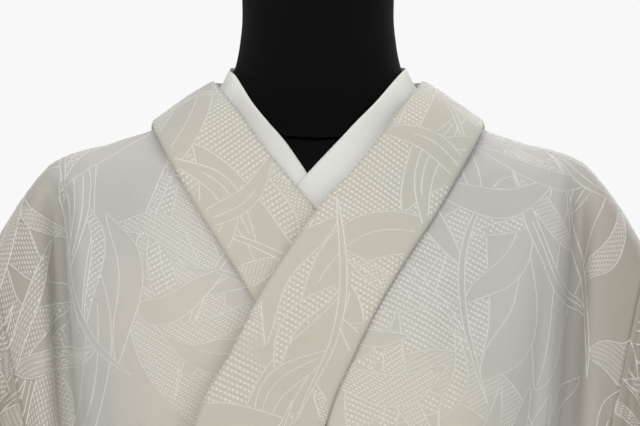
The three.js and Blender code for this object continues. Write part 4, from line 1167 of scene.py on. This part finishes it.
over = rows + normals_out(rows, np.argmin(rows[:, 1, 1]), 1) * OVER_COLLAR_LIFT
over = over[nape - OVER_COLLAR_ROWS:nape + OVER_COLLAR_ROWS + 1]
P = turned_down(fine(over, *OVER_GRID), 1.7, 4.0)
obj, lines = band("over_collar_cloth", P, COLLAR, 1.5, 1.0, (205, 330))
patterned(obj, lines, "collar_cloth", "over_collar")

left, right = white_half("left"), white_half("right")
P = fine(np.concatenate([right[::-1], left[1:]]), *WHITE_GRID)
obj = band("inner_collar_cloth", P, WHITE, 1.3, 1.0)
ready(obj, "inner_collar_cloth", "inner_collar")

# The sleeves: a tube over the arm, closed at the foot and the top, open at the cuff
CELL = 3
coarse, apex = sleeve_rows()
cells = coarse.shape[1] - 1
t = np.linspace(0, cells, cells * CELL + 1)
P = np.moveaxis(curve(np.arange(cells + 1), np.moveaxis(coarse, 1, 0), t), 0, 1)
P = resample(P, 0, SLEEVE_STEP)
m, n = P.shape[:2]
c = n // 2
N = normals_out(P, m // 2, c // 2)
way = (np.arange(n) - c) / c
share = 1 - np.abs(way)[None]
z = P[..., 2]
move = smooth((1262 - z) / 120) * smooth(share * 5) * smooth((1 - share) * 6) * (
    1.8 * np.sin(share * 31 + z / 61 + 1.3 * np.where(way < 0, 0, 2)) + 1.1 * np.sin(share * 17 - z / 43))
move += -1.6 * np.exp(-(((z - 772 + sleeve_droop(772) * share ** 1.3) / 7) ** 2))
sleeve = P + N * move[..., None]
U, V = arcs(sleeve, False, 0)
U = U - U[:, c:c + 1]
middle = sleeve[:, c, 2]
cuff = np.ix_((middle[:-1] < CUFF_TOP) & (middle[1:] > CUFF_BOTTOM), np.abs(np.arange(n - 1) + 0.5 - c) < CELL)
keep = np.ones((m - 1, n - 1), bool)
keep[cuff] = False
foot = (m - 1) * n
sleeve_faces = (quads(m, n)[keep.ravel()].tolist()
                + [[foot + k, foot + k + 1, foot + n - 2 - k, foot + n - 1 - k] for k in range(c - 1)]
                + [[m * n, k + 1, k] for k in range(n - 1)])
sleeve_verts = np.concatenate([sleeve.reshape(-1, 3), [apex]])
for body, offset in (("left", (215, 90)), ("right", (70, 400))):
    flip = body == "right"
    P, normal, verts = (mirror_x(Q) if flip else Q for Q in (sleeve, N, sleeve_verts))
    faces = sleeve_faces if flip else [x[::-1] for x in sleeve_faces]
    u, v = shift_uv(U, V, offset, flip)
    fields = {key: np.append(values, -1) for key, values in leaf_fields(u, v).items()}
    obj = make_mesh("sleeve_" + body + "_cloth", verts, faces, BODY,
                    np.append(u, offset[0]), np.append(v, offset[1]), fields)
    solidify(obj)
    lines = outlines("sleeve_" + body + "_outlines", P, normal, U, V, offset, flip,
                     CLOTH_THICKNESS / 2 + THREAD_LIFT, lambda j: np.abs(j - c) > CELL)
    patterned(obj, lines, "body_cloth", "sleeve_" + body)


# The waist tie
def tie_ring(z, extra, start, end, steps):
    line = []
    for k in range(steps + 1):
        angle = mix(start, end, k / steps)
        turned = abs(360 - angle if angle > 180 else angle)
        out = mix(TIE_OUT["back"], TIE_OUT["front"], float(smooth((160 - turned) / 80)))
        p = on_skirt(turned, z, out + extra)
        if angle > 180:
            p[0] = -p[0]
        line.append(p)
    return line


def sash(name, P, ring):
    """A folded sash with rounded edges and fine wrinkles; P is rows down by columns round."""
    N = normals(P)
    turn = (N[..., :2] * P[..., :2]).sum() >= 0
    if not turn:
        N = -N
    if ring:
        N[:, 0] = N[:, -1] = (N[:, 1] + N[:, -2]) / 2
    z = P[..., 2]
    share = (z - z[-1:]) / (z[:1] - z[-1:])
    puff = puffed(np.minimum(share, 1 - share) * 45, 4)
    wrinkle = 0.5 * np.sin(share * 21 + 0.7 * np.sin(np.arange(P.shape[1]) / 9))
    half = SASH_THICKNESS / 2
    up = half * (0.3 + 0.7 * puff) + wrinkle * puff * 0.5
    return shell(name, P, N, up, half * puff, *arcs(P, False, 0), TIE, ring=ring, turn=turn)


P = np.array([tie_ring(z, 0.6 * math.sin(math.pi * (TIE_TOP - z) / 45), 0, 360, 180)
              for z in np.linspace(TIE_TOP, TIE_BOTTOM, 25)])
obj = sash("waist_tie_cloth", P, True)
ready(obj, "tie_cloth", "waist_tie")
P = np.array([tie_ring(z, 3.4, 8, 62, 40) for z in np.linspace(1025, 992, 19)])
P[..., 2] += 7 * (np.linspace(0, 1, 41) - 0.5)[None]
obj = sash("waist_tie_end_cloth", P, False)
ready(obj, "tie_cloth", "waist_tie_end")


# The dress form and its stand
def oval(half, front_y, back_y, z, power=2, count=96):
    a = np.arange(count) / count * 2 * np.pi
    s, c = np.sin(a), np.cos(a)
    x = half * np.sign(s) * np.abs(s) ** (2 / power)
    y = np.where(c > 0, -front_y, -back_y) * np.sign(c) * np.abs(c) ** (2 / power)
    return np.stack([x, y, np.full(count, z)], 1)


def lofted(name, rings, material):
    rings = np.array(rings)
    m, n = rings.shape[:2]
    closed = np.concatenate([rings, rings[:, :1]], axis=1)
    ends = [list(range(n))[::-1], [(m - 1) * (n + 1) + k for k in range(n)]]
    return make_mesh(name, closed, quads(m, n + 1).tolist() + ends, material, *arcs(closed, False, 0))


def form_oval(z, count):
    return oval(form_half(z), form_front(z), form_back(z), z, form_round(z), count)


zs = np.concatenate([np.linspace(760, 775, 6), np.linspace(780, 1300, 70), np.linspace(1304, 1490, 90)])
ready(lofted("dress_form_cover", [form_oval(z, 120) for z in zs], JERSEY), "form_cover", "dress_form")
SEAM_FOOT, SEAM_RISE = 1356.5, 40


def neck_seam():
    """The cover's seam round the foot of the neck: a low rolled edge."""
    z = SEAM_FOOT + SEAM_RISE * ((1 - np.cos(np.arange(96) / 96 * 2 * np.pi)) / 2) ** 0.8
    ring = form_oval(z, 96)
    around = unit(np.roll(ring, -1, 0) - np.roll(ring, 1, 0))
    out = unit(np.cross(around, [0, 0, 1]))
    out *= np.sign((out[:, :2] * ring[:, :2]).sum(1))[:, None]
    up = np.cross(out, around)
    turns = np.arange(9) * math.pi / 4
    rings = np.stack([ring + out * (0.9 * math.cos(b)) + up * (1.1 * math.sin(b)) for b in turns], 1)
    rings = np.concatenate([rings, rings[:1]])
    return make_mesh("form_neck_seam", rings, quads(*rings.shape[:2]), FORM_SEAM, *arcs(rings, False, 0))


ready(neck_seam(), "form_cover")


def turned(name, profile, material, count=96):
    return lofted(name, [oval(r, r, r, z, 2, count) for r, z in profile], material)


def bevelled(radius, low, high, bevel):
    steps = [(radius - bevel + bevel * math.sin(a), high - bevel + bevel * math.cos(a))
             for a in np.linspace(math.pi / 2, 0, 6)]
    return [(radius - 0.8, low), (radius, low + 0.8)] + steps + [(radius * 0.5, high)]


CAP_FOOT = 1490.4
CAP_PROFILE = [(1.5, 0), (1.5, 6.5), (1.8, 7.6), (2.4, 8.5), (3.5, 9)]  # inset from the neck, height
cap_rings = [oval(58.5 - inset, 55 - inset, 47 - inset, CAP_FOOT + height, 2.1) for inset, height in CAP_PROFILE]
ready(turned("base_disc", bevelled(165, 0, 14, 3), PAINT, 160), "stand_metal", "base")
ready(turned("socket_turned", bevelled(24, 14.3, 44, 6), PAINT), "stand_metal", "pole_socket")
ready(turned("pole_tube", [(12.5, 44.5), (12.5, 759.5)], STEEL), "stand_metal", "pole")
ready(lofted("neck_cap_turned", cap_rings, PAINT), "stand_metal", "neck_cap")

# Floor, light and camera
PALE = (0.94, 0.94, 0.94, 1)
floor_material, tree, bsdf = new_material("pale_floor")
feed(bsdf, {"Base Color": (0.86, 0.86, 0.85, 1), "Roughness": 0.7})
place = node(tree, "ShaderNodeTexCoord").outputs["Object"]
from_foot = node(tree, "ShaderNodeVectorMath", {0: place}, operation="LENGTH").outputs["Value"]
glow = node(tree, "ShaderNodeEmission", {"Color": PALE, "Strength": 1.0})
fade = node(tree, "ShaderNodeMixShader", {0: step(from_foot, 0.25, 1.5), 1: bsdf.outputs[0], 2: glow.outputs[0]})
feed(next(n for n in tree.nodes if n.type == "OUTPUT_MATERIAL"), {0: fade.outputs[0]})
lofted("floor", [oval(6000, 6000, 6000, z, 2, 64) for z in (-0.6, -0.5)], floor_material)

scene = bpy.context.scene
scene.world = bpy.data.worlds.new("studio")
scene.world.use_nodes = True
tree = scene.world.node_tree
tree.nodes.clear()
soft = node(tree, "ShaderNodeBackground", {"Color": (0.97, 0.98, 1.0, 1), "Strength": 0.44})
seen = node(tree, "ShaderNodeBackground", {"Color": PALE, "Strength": 1.0})
path = node(tree, "ShaderNodeLightPath").outputs["Is Camera Ray"]
choose = node(tree, "ShaderNodeMixShader", {0: path, 1: soft.outputs[0], 2: seen.outputs[0]})
node(tree, "ShaderNodeOutputWorld", {0: choose.outputs[0]})

for name, place, target, size, power, colour in (
    ("key", (-0.9, -2.5, 2.5), (0, 0, 1.25), (1.0, 1.3), 32, (1.0, 0.985, 0.965)),
    ("fill", (1.5, -2.3, 1.8), (0, 0, 1.1), (1.4, 1.8), 13, (1.0, 0.985, 0.96)),
    ("top", (0.1, 0.3, 3.2), (0, 0, 1.2), (1.8, 1.8), 23, (1, 1, 1)),
    ("back", (1.2, 2.4, 2.2), (0, 0, 1.1), (1.6, 1.6), 22, (1, 1, 1)),
):
    light = bpy.data.lights.new(name, "AREA")
    light.shape = "RECTANGLE"
    light.size, light.size_y = size
    light.energy, light.color = power, colour
    obj = bpy.data.objects.new(name, light)
    obj.location = place
    obj.rotation_euler = (Vector(target) - Vector(place)).to_track_quat("-Z", "Y").to_euler()
    scene.collection.objects.link(obj)

CAMERA_FAR, SEEN_WIDTH = 3500, 486.4  # the width of what the frame shows at that distance
lens = bpy.data.cameras.new("camera")
lens.sensor_width = 36
lens.lens = 36 * CAMERA_FAR / SEEN_WIDTH
lens.clip_end = 100
camera = bpy.data.objects.new("camera", lens)
camera.location = (0.0015, -CAMERA_FAR * MM, 1.301)
camera.rotation_euler = (math.radians(90), 0, 0)
scene.collection.objects.link(camera)
scene.camera = camera
scene.view_settings.view_transform = "Standard"
